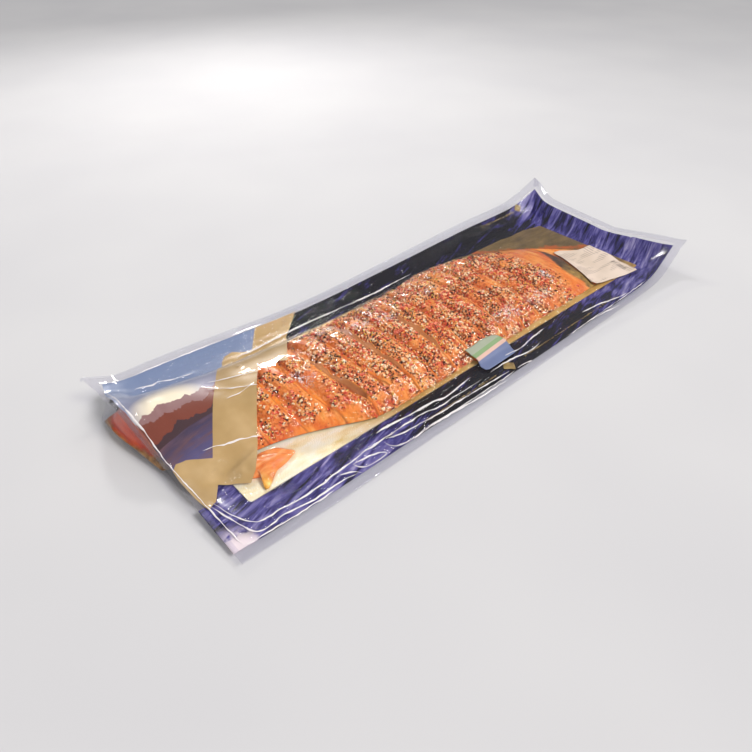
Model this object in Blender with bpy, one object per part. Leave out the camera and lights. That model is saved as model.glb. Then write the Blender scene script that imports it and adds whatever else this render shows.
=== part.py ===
"""Vacuum pack of smoked salmon: a seasoned side of fish, cut across into portions, on a gold card board.

A dark printed film lies underneath and a clear film is drawn down over the fish. The two are
welded into a flat seal strip all round, whose corners curl up. Two labels lie on the clear film.
Units are metres, +Z is up and +X runs along the pack, from its near end to its far end.
The origin is at the centre of the bottom of the pack's box.
"""
import math

import bpy
import bmesh
from mathutils import Vector
from mathutils.bvhtree import BVHTree

# ---------------------------------------------------------------- driving dimensions

BOARD_LENGTH = 0.600
BOARD_WIDTH = 0.166
BOARD_THICKNESS = 0.0010
BOARD_CORNER_RADIUS = 0.003

FILM = 0.0007                # thickness of each film
GAP = 0.0003                 # air left between pieces that touch
CLEARANCE = 0.0007           # air between the clear film and the board
FISH_CLEARANCE = 0.0019      # the same over the fish, whose slices are crowned

POUCH_NEAR = -0.3385         # seal edge at the near end, in the board's own frame
POUCH_FAR = 0.3460
POUCH_HALF_WIDTH = 0.1310
SEAL_WIDTH = 0.0110

FISH_NEAR = -0.3460
NEAR_LANDING = -0.3040       # where the near end's margin meets the board
FISH_FAR = 0.2180
FLAP_FAR = 0.2860            # end of the thin skin left past the last portion
FLAP_THICKNESS = 0.0030
CUT_COUNT = 14
CUT_PITCH = 0.0290
FIRST_CUT = -0.2480
CUT_DEPTH = 0.0080
CUT_NARROWEST = 0.0011       # half the mouth of the tightest cut
CUT_WIDENING = 0.0026        # how much more the widest one has
CUT_LIP = 0.0022             # rounded shoulder beside a cut
SLICE_CROWN = 0.0006         # how far each slice swells between its cuts
CUT_SLANT = 0.05             # how far a cut leans along the fish for each unit across it

BOARD_BOTTOM = FILM + GAP
BOARD_TOP = BOARD_BOTTOM + BOARD_THICKNESS
FISH_BOTTOM = BOARD_TOP + GAP
COVER_ON_BOARD = BOARD_TOP + CLEARANCE
BOARD_TOE = 0.0055           # how far past the board the clear film comes down

# Each profile below is a smooth line through a few (place, value) points.

FISH_FRONT_EDGE = [(-0.346, -0.004), (-0.300, -0.030), (-0.240, -0.043), (-0.200, -0.058),
                   (-0.160, -0.076), (-0.120, -0.0800), (0.100, -0.0780), (0.218, -0.0760),
                   (0.255, -0.0680), (0.286, -0.0480)]
FISH_BACK_EDGE = [(-0.346, 0.092), (-0.300, 0.083), (-0.240, 0.073), (-0.100, 0.0710),
                  (0.000, 0.0760), (0.060, 0.0840), (0.120, 0.0790), (0.170, 0.0640),
                  (0.218, 0.0440), (0.286, -0.0220)]
FISH_THICKNESS = [(-0.346, 0.0080), (-0.341, 0.0210), (-0.333, 0.0322), (-0.280, 0.0320),
                  (-0.150, 0.0300), (0.000, 0.0290), (0.100, 0.0260), (0.160, 0.0210),
                  (0.200, 0.0140), (0.218, 0.0080)]
FISH_CREST = [(-0.334, 0.22), (-0.240, 0.22), (0.000, 0.12), (0.218, 0.00)]
FISH_FRONT_FULLNESS = [(-0.334, 1.25), (-0.260, 1.9), (-0.200, 3.0), (-0.100, 2.6), (0.218, 2.6)]
FISH_BACK_FULLNESS = [(-0.334, 2.0), (-0.200, 2.8), (0.218, 2.8)]
FISH_EDGE_STEEPNESS = 0.62

FRONT_SEAL_HEIGHT = [(-0.339, 0.0030), (-0.250, 0.0002), (-0.100, 0.0020), (0.050, 0.0035),
                     (0.200, 0.0080), (0.270, 0.0120), (0.320, 0.0230), (0.346, 0.0350)]
BACK_SEAL_HEIGHT = [(-0.344, 0.0140), (-0.280, 0.0165), (-0.090, 0.0060), (0.040, 0.0110),
                    (0.190, 0.0190), (0.285, 0.0210), (0.310, 0.0280), (0.346, 0.0460)]
NEAR_SEAL_HEIGHT = [(-0.131, 0.0030), (-0.050, 0.0090), (0.000, 0.0150), (0.032, 0.0280),
                    (0.060, 0.0370), (0.082, 0.0320), (0.105, 0.0205), (0.131, 0.0140)]
FAR_SEAL_HEIGHT = [(-0.131, 0.0350), (-0.080, 0.0280), (-0.020, 0.0165), (0.030, 0.0110),
                   (0.065, 0.0140), (0.095, 0.0260), (0.131, 0.0460)]

BELLY_PIECE_CENTRE = (-0.2640, -0.0560)
BELLY_PIECE_LENGTH = 0.0500
BELLY_PIECE_WIDTH = 0.0260
BELLY_PIECE_THICKNESS = 0.0080

PRICE_LABEL_CENTRE = (0.2520, -0.0470)
PRICE_LABEL_SIZE = (0.0560, 0.0860)
PRICE_LABEL_TURN = math.radians(-6.0)
STICKER_CENTRE = (0.0080, -0.0800)
STICKER_SIZE = (0.0430, 0.0400)
STICKER_TURN = math.radians(3.0)
LABEL_THICKNESS = 0.0004

# ---------------------------------------------------------------- small helpers


def through(points, place):
    """Value at a place on the smooth line through the points, level past both ends."""
    if place <= points[0][0]:
        return points[0][1]
    if place >= points[-1][0]:
        return points[-1][1]
    slopes = []
    for index in range(len(points)):
        before = points[max(index - 1, 0)]
        after = points[min(index + 1, len(points) - 1)]
        slopes.append((after[1] - before[1]) / (after[0] - before[0]))
    index = max(i for i in range(len(points) - 1) if points[i][0] <= place)
    start, end = points[index], points[index + 1]
    span = end[0] - start[0]
    t = (place - start[0]) / span
    rise = end[1] - start[1]
    ease = t * t * (3.0 - 2.0 * t)
    bend = t * (1.0 - t) * ((1.0 - t) * slopes[index] - t * slopes[index + 1]) * span
    return start[1] + ease * rise + bend


def ramp(value, low, high):
    """Zero below low, one above high, and a smooth step between."""
    t = min(max((value - low) / (high - low), 0.0), 1.0)
    return t * t * (3.0 - 2.0 * t)


def mix(first, second, share):
    return first + (second - first) * share


def clear_scene():
    for thing in list(bpy.data.objects):
        bpy.data.objects.remove(thing, do_unlink=True)


def make_material(name, colour, roughness, metallic=0.0, alpha=1.0):
    material = bpy.data.materials.new(name)
    material.use_nodes = True
    shader = material.node_tree.nodes["Principled BSDF"]
    shader.inputs["Base Color"].default_value = (*colour, 1.0)
    shader.inputs["Roughness"].default_value = roughness
    shader.inputs["Metallic"].default_value = metallic
    shader.inputs["Alpha"].default_value = alpha
    return material


def add_object(name, mesh_builder, material):
    """Turn a bmesh into a named object with its faces pointing out."""
    bmesh.ops.recalc_face_normals(mesh_builder, faces=mesh_builder.faces)
    mesh = bpy.data.meshes.new(name)
    mesh_builder.to_mesh(mesh)
    mesh_builder.free()
    mesh.materials.append(material)
    mesh.shade_smooth()
    mesh.set_sharp_from_angle(angle=math.radians(40.0))
    piece = bpy.data.objects.new(name, mesh)
    bpy.context.collection.objects.link(piece)
    return piece


def grid_normals(rows):
    """Upward normals of a grid of points, one for each point."""
    normals = []
    for i in range(len(rows)):
        line = []
        for j in range(len(rows[i])):
            along = rows[min(i + 1, len(rows) - 1)][j] - rows[max(i - 1, 0)][j]
            across = rows[i][min(j + 1, len(rows[i]) - 1)] - rows[i][max(j - 1, 0)]
            line.append(along.cross(across).normalized())
        normals.append(line)
    return normals


def sheet_solid(rows, thickness):
    """Closed solid between a grid of points and the same grid raised along its normals."""
    normals = grid_normals(rows)
    builder = bmesh.new()
    lower = [[builder.verts.new(point) for point in row] for row in rows]
    upper = []
    for row, row_normals in zip(rows, normals):
        upper.append([builder.verts.new(p + n * thickness) for p, n in zip(row, row_normals)])
    last_row = len(rows) - 1
    last = len(rows[0]) - 1
    for i in range(last_row):
        for j in range(last):
            builder.faces.new((lower[i][j], lower[i][j + 1], lower[i + 1][j + 1], lower[i + 1][j]))
            builder.faces.new((upper[i][j], upper[i + 1][j], upper[i + 1][j + 1], upper[i][j + 1]))
    for i in range(last_row):
        builder.faces.new((lower[i][0], lower[i + 1][0], upper[i + 1][0], upper[i][0]))
        builder.faces.new((lower[i + 1][last], lower[i][last], upper[i][last], upper[i + 1][last]))
    for j in range(last):
        builder.faces.new((lower[0][j + 1], lower[0][j], upper[0][j], upper[0][j + 1]))
        builder.faces.new((lower[last_row][j], lower[last_row][j + 1],
                           upper[last_row][j + 1], upper[last_row][j]))
    return builder


# ---------------------------------------------------------------- the fish's form


FISH_EDGE_HEIGHT = 0.0022
CUT_LEAN_RANGE = (-0.28, -0.25, 0.16, 0.20)     # the lean of the cuts fades in and out here
FAR_BOW = 0.0120                                # how far the last portion bulges in its middle
FAR_BOW_START = 0.17
NEAR_SKEW = 0.0120                              # how far the near end falls back towards its front
NEAR_SKEW_RANGE = (-0.010, 0.055)               # y over which it does

# Places of the cross sections before the first cut and after the last one, and where across
# the fish the points of every section lie, as shares of its width.
NEAR_STATIONS = (FISH_NEAR, -0.3425, -0.338, -0.333, -0.318, -0.300, -0.280, -0.262)
FAR_STATIONS = (0.166, 0.184, 0.202, FISH_FAR, FISH_FAR + 0.002, 0.238, 0.262, FLAP_FAR)
FISH_SIDES = (-1.0, -0.975, -0.90, -0.72, -0.45, -0.15, 0.15, 0.45, 0.72, 0.90, 0.975, 1.0)


def fish_side(place, y):
    """Share of the fish's width at a place: -1 at its front edge and 1 at its back edge."""
    front = through(FISH_FRONT_EDGE, place)
    back = through(FISH_BACK_EDGE, place)
    return (2.0 * y - front - back) / (back - front)


def fish_offset(place, y):
    """How far a point of the fish lies past its station, from the cuts' lean and the far bow."""
    start, started, ending, ended = CUT_LEAN_RANGE
    lean = ramp(place, start, started) * (1.0 - ramp(place, ending, ended))
    side = min(max(fish_side(place, y), -1.0), 1.0)
    bow = ramp(place, FAR_BOW_START, FISH_FAR) * (1.0 - ramp(place, FISH_FAR, FLAP_FAR))
    skew = (1.0 - ramp(place, FISH_NEAR, NEAR_LANDING)) * (1.0 - ramp(y, *NEAR_SKEW_RANGE))
    return FAR_BOW * (1.0 - side * side) * bow - CUT_SLANT * y * lean + NEAR_SKEW * skew


def fish_height(place, y):
    """Height of the uncut flesh above the fish's underside, zero outside its outline."""
    side = fish_side(place, y)
    if place < FISH_NEAR or place > FLAP_FAR or abs(side) >= 1.0:
        return 0.0
    if place > FISH_FAR:
        return FLAP_THICKNESS
    crest = through(FISH_CREST, place)
    if side < crest:
        away = (crest - side) / (1.0 + crest)
        fullness = through(FISH_FRONT_FULLNESS, place)
    else:
        away = (side - crest) / (1.0 - crest)
        fullness = through(FISH_BACK_FULLNESS, place)
    return through(FISH_THICKNESS, place) * (1.0 - away ** fullness) ** FISH_EDGE_STEEPNESS


def belly_piece_height(x, y):
    """Height of the loose belly piece, a low dome on an egg-shaped outline."""
    along = (x - BELLY_PIECE_CENTRE[0]) / (BELLY_PIECE_LENGTH / 2.0)
    across = (y - BELLY_PIECE_CENTRE[1]) / (BELLY_PIECE_WIDTH / 2.0)
    reach = along * along + across * across
    if reach >= 1.0:
        return 0.0
    return BELLY_PIECE_THICKNESS * (1.0 - reach) ** 0.5


def cut_half_width(index):
    """Half the mouth of a cut: the near ones gape, the far ones stay nearly shut."""
    openness = 1.0 - index / (CUT_COUNT - 1)
    unevenness = 0.5 + 0.5 * math.sin(2.3 * index + 0.6)
    return CUT_NARROWEST + CUT_WIDENING * unevenness * (0.35 + 0.65 * openness)


def fish_stations():
    """Places along the fish, each with how deep the flesh is cut there."""
    stations = [(place, 0.0) for place in NEAR_STATIONS]
    for index in range(CUT_COUNT):
        place = FIRST_CUT + index * CUT_PITCH
        half = cut_half_width(index)
        depth = CUT_DEPTH * (0.55 + 0.45 * half / (CUT_NARROWEST + CUT_WIDENING))
        stations.append((place - half - CUT_LIP, 0.0))
        stations.append((place - 0.5 * half, depth))
        stations.append((place + 0.5 * half, depth))
        stations.append((place + half + CUT_LIP, 0.0))
        stations.append((place + CUT_PITCH / 2.0, -SLICE_CROWN))
    stations += [(place, 0.0) for place in FAR_STATIONS]
    return stations


def build_salmon(material):
    """The side of fish: a ridge of flesh over a flat underside, cut across from above."""
    builder = bmesh.new()
    tops, bottoms = [], []
    for place, depth in fish_stations():
        top = []
        for side in FISH_SIDES:
            y = mix(through(FISH_FRONT_EDGE, place), through(FISH_BACK_EDGE, place), (side + 1.0) / 2.0)
            x = place + fish_offset(place, y)
            height = fish_height(place, y) - depth * (1.0 - abs(side) ** 6)
            top.append(builder.verts.new((x, y, FISH_BOTTOM + max(height, FISH_EDGE_HEIGHT))))
        first, last = top[0].co, top[-1].co
        bottoms.append((builder.verts.new((first.x, first.y, FISH_BOTTOM)),
                        builder.verts.new((last.x, last.y, FISH_BOTTOM))))
        tops.append(top)
    for row in range(len(tops) - 1):
        top, next_top = tops[row], tops[row + 1]
        front, back = bottoms[row]
        next_front, next_back = bottoms[row + 1]
        for j in range(len(FISH_SIDES) - 1):
            builder.faces.new((top[j], next_top[j], next_top[j + 1], top[j + 1]))
        builder.faces.new((front, back, next_back, next_front))
        builder.faces.new((front, next_front, next_top[0], top[0]))
        builder.faces.new((next_back, back, top[-1], next_top[-1]))
    builder.faces.new([bottoms[0][1], bottoms[0][0]] + tops[0])
    builder.faces.new([bottoms[-1][0], bottoms[-1][1]] + tops[-1][::-1])
    return add_object("salmon", builder, material)


def build_belly_piece(material):
    """The loose piece of belly and fin that lies in front of the fish's near end."""
    builder = bmesh.new()
    around = 20
    rings = (1.0, 0.94, 0.75, 0.45)
    loops = []
    for share in rings:
        loop = []
        for step in range(around):
            turn = 2.0 * math.pi * step / around
            x = BELLY_PIECE_CENTRE[0] + share * BELLY_PIECE_LENGTH / 2.0 * math.cos(turn)
            y = BELLY_PIECE_CENTRE[1] + share * BELLY_PIECE_WIDTH / 2.0 * math.sin(turn)
            height = max(belly_piece_height(x, y), 0.0015)
            loop.append(builder.verts.new((x, y, FISH_BOTTOM + height)))
        loops.append(loop)
    foot = [builder.verts.new((v.co.x, v.co.y, FISH_BOTTOM)) for v in loops[0]]
    loops.insert(0, foot)
    for inner, outer in zip(loops[1:], loops[:-1]):
        for step in range(around):
            after = (step + 1) % around
            builder.faces.new((outer[step], outer[after], inner[after], inner[step]))
    builder.faces.new(foot[::-1])
    builder.faces.new(loops[-1])
    return add_object("belly_piece", builder, material)


# ---------------------------------------------------------------- board


def build_board(material):
    """The gold card board: a thin plate with small round corners."""
    builder = bmesh.new()
    outline = []
    for corner in range(4):
        sign_x = 1.0 if corner in (0, 3) else -1.0
        sign_y = 1.0 if corner in (0, 1) else -1.0
        centre_x = sign_x * (BOARD_LENGTH / 2.0 - BOARD_CORNER_RADIUS)
        centre_y = sign_y * (BOARD_WIDTH / 2.0 - BOARD_CORNER_RADIUS)
        for step in range(4):
            turn = math.pi / 2.0 * (corner + step / 3.0)
            outline.append((centre_x + BOARD_CORNER_RADIUS * math.cos(turn),
                            centre_y + BOARD_CORNER_RADIUS * math.sin(turn)))
    low = [builder.verts.new((x, y, BOARD_BOTTOM)) for x, y in outline]
    high = [builder.verts.new((x, y, BOARD_TOP)) for x, y in outline]
    builder.faces.new(low[::-1])
    builder.faces.new(high)
    for step in range(len(outline)):
        after = (step + 1) % len(outline)
        builder.faces.new((low[step], low[after], high[after], high[step]))
    return add_object("gold_board", builder, material)


# ---------------------------------------------------------------- the two films

# Share of the seal's height that each margin line has, from the seal's edge inwards.
MARGIN_RISE = (1.0, 0.90, 0.32, 0.0)
NEAR_STEPS = (0.0, SEAL_WIDTH, 0.020, 0.0350)       # margin lines where the near end is low
FAR_STEPS = (0.0, SEAL_WIDTH, 0.0260, 0.0405)
FILM_SIDES = (-1.0, -0.94, -0.80, -0.55, -0.25, 0.10, 0.42, 0.70, 0.87, 0.96, 1.0)
FOOT_REACH = 0.0045                                 # how far past the fish the clear film lands
COVER_REACH = 0.0035                                # how far round a point the film looks for flesh
NEAR_WALL_RANGE = (-0.080, -0.035, 0.096, 0.128)    # y over which the near end stands up as a wall
NEAR_BULGE_RANGE = (-0.020, 0.055, 0.090, 0.125)    # y over which that wall bulges out
SEAL_BULGE = 0.0045
FOOT_BULGE = 0.0125
NEAR_FOOT = -0.3375
EAR_REACH = 0.0300
EAR_RISE = 0.0170
EAR_OUT = 0.0100


def plateau(value, limits):
    """One between the middle two limits, easing to zero at the outer two."""
    low, rising, falling, high = limits
    return ramp(value, low, rising) * (1.0 - ramp(value, falling, high))


def near_steepness(y):
    """One where the fish's thick end holds the near seal up, zero where the seal lies low."""
    return plateau(y, NEAR_WALL_RANGE)


def near_edge(y):
    return POUCH_NEAR - SEAL_BULGE * plateau(y, NEAR_BULGE_RANGE)


def front_edge(x):
    return -POUCH_HALF_WIDTH + 0.013 * ramp(x, 0.250, POUCH_FAR)


def back_edge(x):
    return POUCH_HALF_WIDTH - 0.005 * ramp(x, 0.300, POUCH_FAR)


def film_front(x):
    """Line along which the clear film meets the board in front of the fish."""
    line = through(FISH_FRONT_EDGE, x) - FOOT_REACH
    reach = abs(x - BELLY_PIECE_CENTRE[0])
    lowest = BELLY_PIECE_CENTRE[1] - BELLY_PIECE_WIDTH / 2.0 - FOOT_REACH
    near = 1.0 - ramp(reach, BELLY_PIECE_LENGTH / 2.0 + 0.004, BELLY_PIECE_LENGTH / 2.0 + 0.040)
    return mix(line, min(line, lowest), near)


def film_back(x):
    return through(FISH_BACK_EDGE, x) + FOOT_REACH


def cross_lines(x, back_x=None):
    """The y of each line that runs along the pack, from the front seal edge to the back one."""
    front, back = front_edge(x), back_edge(x)
    foot, heel = film_front(x), film_back(x if back_x is None else back_x)
    toe = min(-BOARD_WIDTH / 2.0 - BOARD_TOE, foot - 0.003)
    back_toe = max(BOARD_WIDTH / 2.0 + BOARD_TOE, heel + 0.003)
    lines = [front, front + SEAL_WIDTH, min(front + 0.026, toe - 0.006), toe]
    lines += [mix(foot, heel, (side + 1.0) / 2.0) for side in FILM_SIDES]
    lines += [back_toe, max(back - 0.026, back_toe + 0.006), back - SEAL_WIDTH, back]
    return lines


def film_columns():
    """Places along the pack between the two ends' margins."""
    columns = [-0.2860, -0.2740, -0.2600, -0.2460, -0.2320]
    columns += [-0.2150 + 0.0310 * step for step in range(13)]
    columns += [0.1850, 0.2040, FISH_FAR + 0.0100, 0.2420, 0.2660, FLAP_FAR + 0.0020, FLAP_FAR + 0.0110]
    return columns


def near_lower_point(step, y):
    """Printed film at the near end: low in front, folded down the fish's end behind."""
    steep = near_steepness(y)
    height = through(NEAR_SEAL_HEIGHT, y)
    edge = near_edge(y)
    foot = NEAR_FOOT - FOOT_BULGE * plateau(y, NEAR_BULGE_RANGE)
    low_x = POUCH_NEAR + NEAR_STEPS[step]
    wall_x = (edge, edge + 0.0045, foot, foot + 0.0060)[step]
    wall_rise = (1.0, 0.92, 0.16, 0.0)[step]
    return Vector((mix(low_x, wall_x, steep), y, height * mix(MARGIN_RISE[step], wall_rise, steep)))


def near_upper_point(step, y):
    """Clear film over the fish's thick near end, from the seal's edge onto the flesh."""
    x = (near_edge(y), -0.3335, -0.3265, NEAR_LANDING)[step]
    height = through(NEAR_SEAL_HEIGHT, y) * (1.0, 0.97, 0.90, 0.0)[step]
    return Vector((x, y, max(height, cover(x, y))))


def cover(x, y):
    """Lowest the clear film may lie over the fish and the belly piece, zero away from them."""
    flesh = 0.0
    for dx in (-COVER_REACH, 0.0, COVER_REACH):
        for dy in (-COVER_REACH, 0.0, COVER_REACH):
            place = x + dx - fish_offset(x + dx, y + dy)
            flesh = max(flesh, fish_height(place, y + dy), belly_piece_height(x + dx, y + dy))
    if flesh > 0.0:
        return FISH_BOTTOM + max(flesh, FISH_EDGE_HEIGHT) + FISH_CLEARANCE
    return 0.0


def ear(x, y):
    """Upward and outward curl of the seal's near back corner."""
    reach = math.hypot(x - POUCH_NEAR, y - POUCH_HALF_WIDTH) / EAR_REACH
    if reach >= 1.0:
        return Vector((0.0, 0.0, 0.0))
    curl = (1.0 - reach) ** 2
    return Vector((-EAR_OUT * curl, 0.0, EAR_RISE * curl))


def side_height(place, line, lines):
    """Height of the printed film at one of the lines along the pack, from the two side seals."""
    margin = min(line, len(lines) - 1 - line)
    if margin >= len(MARGIN_RISE):
        return 0.0
    profile = FRONT_SEAL_HEIGHT if lines[line] < 0.0 else BACK_SEAL_HEIGHT
    return through(profile, place) * MARGIN_RISE[margin]


def lower_film_grid():
    """Grid of the printed film's underside: flat under the board, raised to the seal all round."""
    rows = []
    near_lines = cross_lines(NEAR_LANDING, FISH_NEAR)
    for step, reach in enumerate(NEAR_STEPS):
        row = []
        for line, y in enumerate(near_lines):
            point = near_lower_point(step, y)
            point.z = max(point.z, side_height(POUCH_NEAR + reach, line, near_lines))
            row.append(point + ear(point.x, y))
        rows.append(row)
    for place in film_columns():
        lines = cross_lines(place)
        rows.append([Vector((place, y, side_height(place, line, lines))) for line, y in enumerate(lines)])
    for reach, rise in reversed(list(zip(FAR_STEPS, MARGIN_RISE))):
        place = POUCH_FAR - reach
        lines = cross_lines(place)
        row = []
        for line, y in enumerate(lines):
            height = max(side_height(place, line, lines), through(FAR_SEAL_HEIGHT, y) * rise)
            row.append(Vector((place, y, height)))
        rows.append(row)
    return rows


def highest_below(tree, x, y, reach):
    """Highest point of a mesh in a small square around a place, seen from above."""
    highest = 0.0
    for dx in (-reach, 0.0, reach):
        for dy in (-reach, 0.0, reach):
            hit = tree.ray_cast(Vector((x + dx, y + dy, 0.2)), Vector((0.0, 0.0, -1.0)))[0]
            if hit:
                highest = max(highest, hit.z)
    return highest


def upper_film_grid(lower, lower_tree):
    """Grid of the clear film's underside: close to the printed one along the seal, lifted inside."""
    normals = grid_normals(lower)
    near_lines = cross_lines(NEAR_LANDING, FISH_NEAR)
    board_reach_x = BOARD_LENGTH / 2.0 + BOARD_TOE + 0.001
    board_reach_y = BOARD_WIDTH / 2.0 + BOARD_TOE + 0.001
    rows = []
    for i in range(len(lower)):
        row = []
        for line, (point, normal) in enumerate(zip(lower[i], normals[i])):
            raised = point + normal * (FILM + GAP)
            if 0 < i < len(NEAR_STEPS):
                steep = near_steepness(point.y)
                place = POUCH_NEAR + NEAR_STEPS[i]
                over = near_upper_point(i, point.y)
                over.z = max(over.z, side_height(place, line, near_lines) + FILM + GAP)
                raised.x = mix(place, over.x, steep)
                raised.z = mix(raised.z, over.z, steep)
                if steep > 0.0:
                    raised.z = max(raised.z, highest_below(lower_tree, raised.x, raised.y, 0.003) + GAP)
            if i > 0:
                raised.z = max(raised.z, cover(raised.x, raised.y))
            if abs(raised.x) < board_reach_x and abs(raised.y) < board_reach_y:
                raised.z = max(raised.z, COVER_ON_BOARD)
            row.append(raised)
        rows.append(row)
    return rows


# ---------------------------------------------------------------- labels


def build_label(name, centre, size, turn, film_tree, cells, material):
    """A thin sheet laid on the clear film, a little above it wherever the film is bent."""
    step = (size[0] / cells[0], size[1] / cells[1])
    rows = []
    for i in range(cells[0] + 1):
        row = []
        for j in range(cells[1] + 1):
            u = -size[0] / 2.0 + i * step[0]
            v = -size[1] / 2.0 + j * step[1]
            x = centre[0] + u * math.cos(turn) - v * math.sin(turn)
            y = centre[1] + u * math.sin(turn) + v * math.cos(turn)
            row.append(Vector((x, y, highest_below(film_tree, x, y, 0.8 * step[0]) + GAP)))
        rows.append(row)
    return add_object(name, sheet_solid(rows, LABEL_THICKNESS), material)


# ---------------------------------------------------------------- the pack


def stand_on_origin(pieces):
    """Move every piece so that the origin is at the centre of the bottom of their box."""
    corners = [vertex.co for piece in pieces for vertex in piece.data.vertices]
    low = Vector([min(corner[axis] for corner in corners) for axis in range(3)])
    high = Vector([max(corner[axis] for corner in corners) for axis in range(3)])
    shift = Vector(((low.x + high.x) / 2.0, (low.y + high.y) / 2.0, low.z))
    for piece in pieces:
        for vertex in piece.data.vertices:
            vertex.co -= shift
        piece.data.update()


def main():
    clear_scene()
    printed = make_material("printed_film", (0.035, 0.040, 0.160), 0.25)
    clear = make_material("clear_film", (0.80, 0.80, 0.86), 0.08, alpha=0.18)
    gold = make_material("gold_card", (0.83, 0.60, 0.25), 0.30, metallic=0.9)
    flesh = make_material("smoked_flesh", (0.72, 0.22, 0.07), 0.45)
    belly = make_material("belly_flesh", (0.78, 0.27, 0.09), 0.40)
    paper = make_material("label_paper", (0.82, 0.79, 0.74), 0.60)
    sticker = make_material("sticker", (0.45, 0.55, 0.48), 0.35)

    lower = lower_film_grid()
    lower_mesh = sheet_solid(lower, FILM)
    lower_tree = BVHTree.FromBMesh(lower_mesh)
    pieces = [add_object("lower_film", lower_mesh, printed)]
    pieces.append(build_board(gold))
    pieces.append(build_salmon(flesh))
    pieces.append(build_belly_piece(belly))
    film_mesh = sheet_solid(upper_film_grid(lower, lower_tree), FILM)
    film_tree = BVHTree.FromBMesh(film_mesh)
    pieces.append(add_object("upper_film", film_mesh, clear))
    pieces.append(build_label("price_label", PRICE_LABEL_CENTRE, PRICE_LABEL_SIZE,
                              PRICE_LABEL_TURN, film_tree, (7, 9), paper))
    pieces.append(build_label("side_sticker", STICKER_CENTRE, STICKER_SIZE,
                              STICKER_TURN, film_tree, (7, 8), sticker))
    stand_on_origin(pieces)


main()
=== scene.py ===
"""Looks of a vacuum pack of smoked salmon.

A seasoned side of fish, cut across into portions, lies on a gold card board. A printed film is
underneath and a clear film is drawn down over the top, with a welded seal strip all round.
Metres, +Z up, +X along the pack from the thick near end of the fish to its thin far end.
"""

import math
import random

import bpy
import numpy as np
from mathutils import Matrix, Vector, noise
from mathutils.bvhtree import BVHTree


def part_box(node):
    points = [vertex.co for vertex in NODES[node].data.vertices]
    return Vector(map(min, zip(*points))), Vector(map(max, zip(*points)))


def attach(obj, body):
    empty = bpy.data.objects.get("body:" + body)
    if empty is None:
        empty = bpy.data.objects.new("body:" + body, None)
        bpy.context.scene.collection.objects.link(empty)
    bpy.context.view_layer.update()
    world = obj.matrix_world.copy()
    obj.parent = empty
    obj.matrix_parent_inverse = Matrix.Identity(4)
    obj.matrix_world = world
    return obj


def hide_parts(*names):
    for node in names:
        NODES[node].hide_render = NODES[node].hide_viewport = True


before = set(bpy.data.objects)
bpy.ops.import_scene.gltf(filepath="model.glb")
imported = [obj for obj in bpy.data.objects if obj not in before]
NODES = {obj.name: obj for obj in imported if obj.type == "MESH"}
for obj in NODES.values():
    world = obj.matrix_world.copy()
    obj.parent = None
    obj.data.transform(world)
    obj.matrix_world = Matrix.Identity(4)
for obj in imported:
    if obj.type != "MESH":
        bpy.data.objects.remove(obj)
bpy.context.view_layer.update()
BOARD_LOW, BOARD_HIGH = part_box("gold_board")
MID_X = (BOARD_LOW[0] + BOARD_HIGH[0]) / 2.0
MID_Y = (BOARD_LOW[1] + BOARD_HIGH[1]) / 2.0
BOARD_TOP = BOARD_HIGH[2]
FISH_LOW, FISH_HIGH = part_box("salmon")

# Places below are given from the middle of the board: x along it and y across it.

FIRST_CUT = -0.2560
CUT_PITCH = 0.0291
CUT_SLANT = 0.05
CUT_CURVE = 0.0140

# Half the mouth of each cut, from the thick end on.
CUT_MOUTHS = (0.0022, 0.0022, 0.0028, 0.0024, 0.0030, 0.0024, 0.0024,
              0.0022, 0.0024, 0.0026, 0.0024, 0.0022, 0.0024, 0.0022)

# Cuts that gape, showing the face beyond: which cut, middle and half length across the fish,
# width, and how smooth that face is and how much brown shade is painted on it.
GAPES = ((5, 0.006, 0.066, 0.0092, 1.0), (3, -0.020, 0.044, 0.0088, 1.0), (7, -0.020, 0.042, 0.0092, 1.0),
         (6, -0.012, 0.030, 0.0070, 0.9), (4, -0.010, 0.052, 0.0056, 0.1), (2, -0.004, 0.046, 0.0050, 0.1),
         (8, -0.004, 0.044, 0.0050, 0.2), (9, -0.016, 0.040, 0.0044, 0.3), (1, -0.004, 0.034, 0.0046, 0.1),
         (10, 0.006, 0.036, 0.0036, 0.3), (3, 0.048, 0.016, 0.0050, 0.1), (12, 0.004, 0.034, 0.0030, 0.4))

# The dark edge of skin past the last portion: y, then the x where it begins and ends.
SKIN_ARC = ((-0.0800, 0.2000, 0.2110), (-0.0655, 0.1984, 0.2120), (-0.0500, 0.1945, 0.2135),
            (-0.0330, 0.1960, 0.2170), (-0.0146, 0.2046, 0.2250), (0.0000, 0.2120, 0.2310),
            (0.0136, 0.2181, 0.2345), (0.0250, 0.2215, 0.2290), (0.0320, 0.2235, 0.2240))

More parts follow.
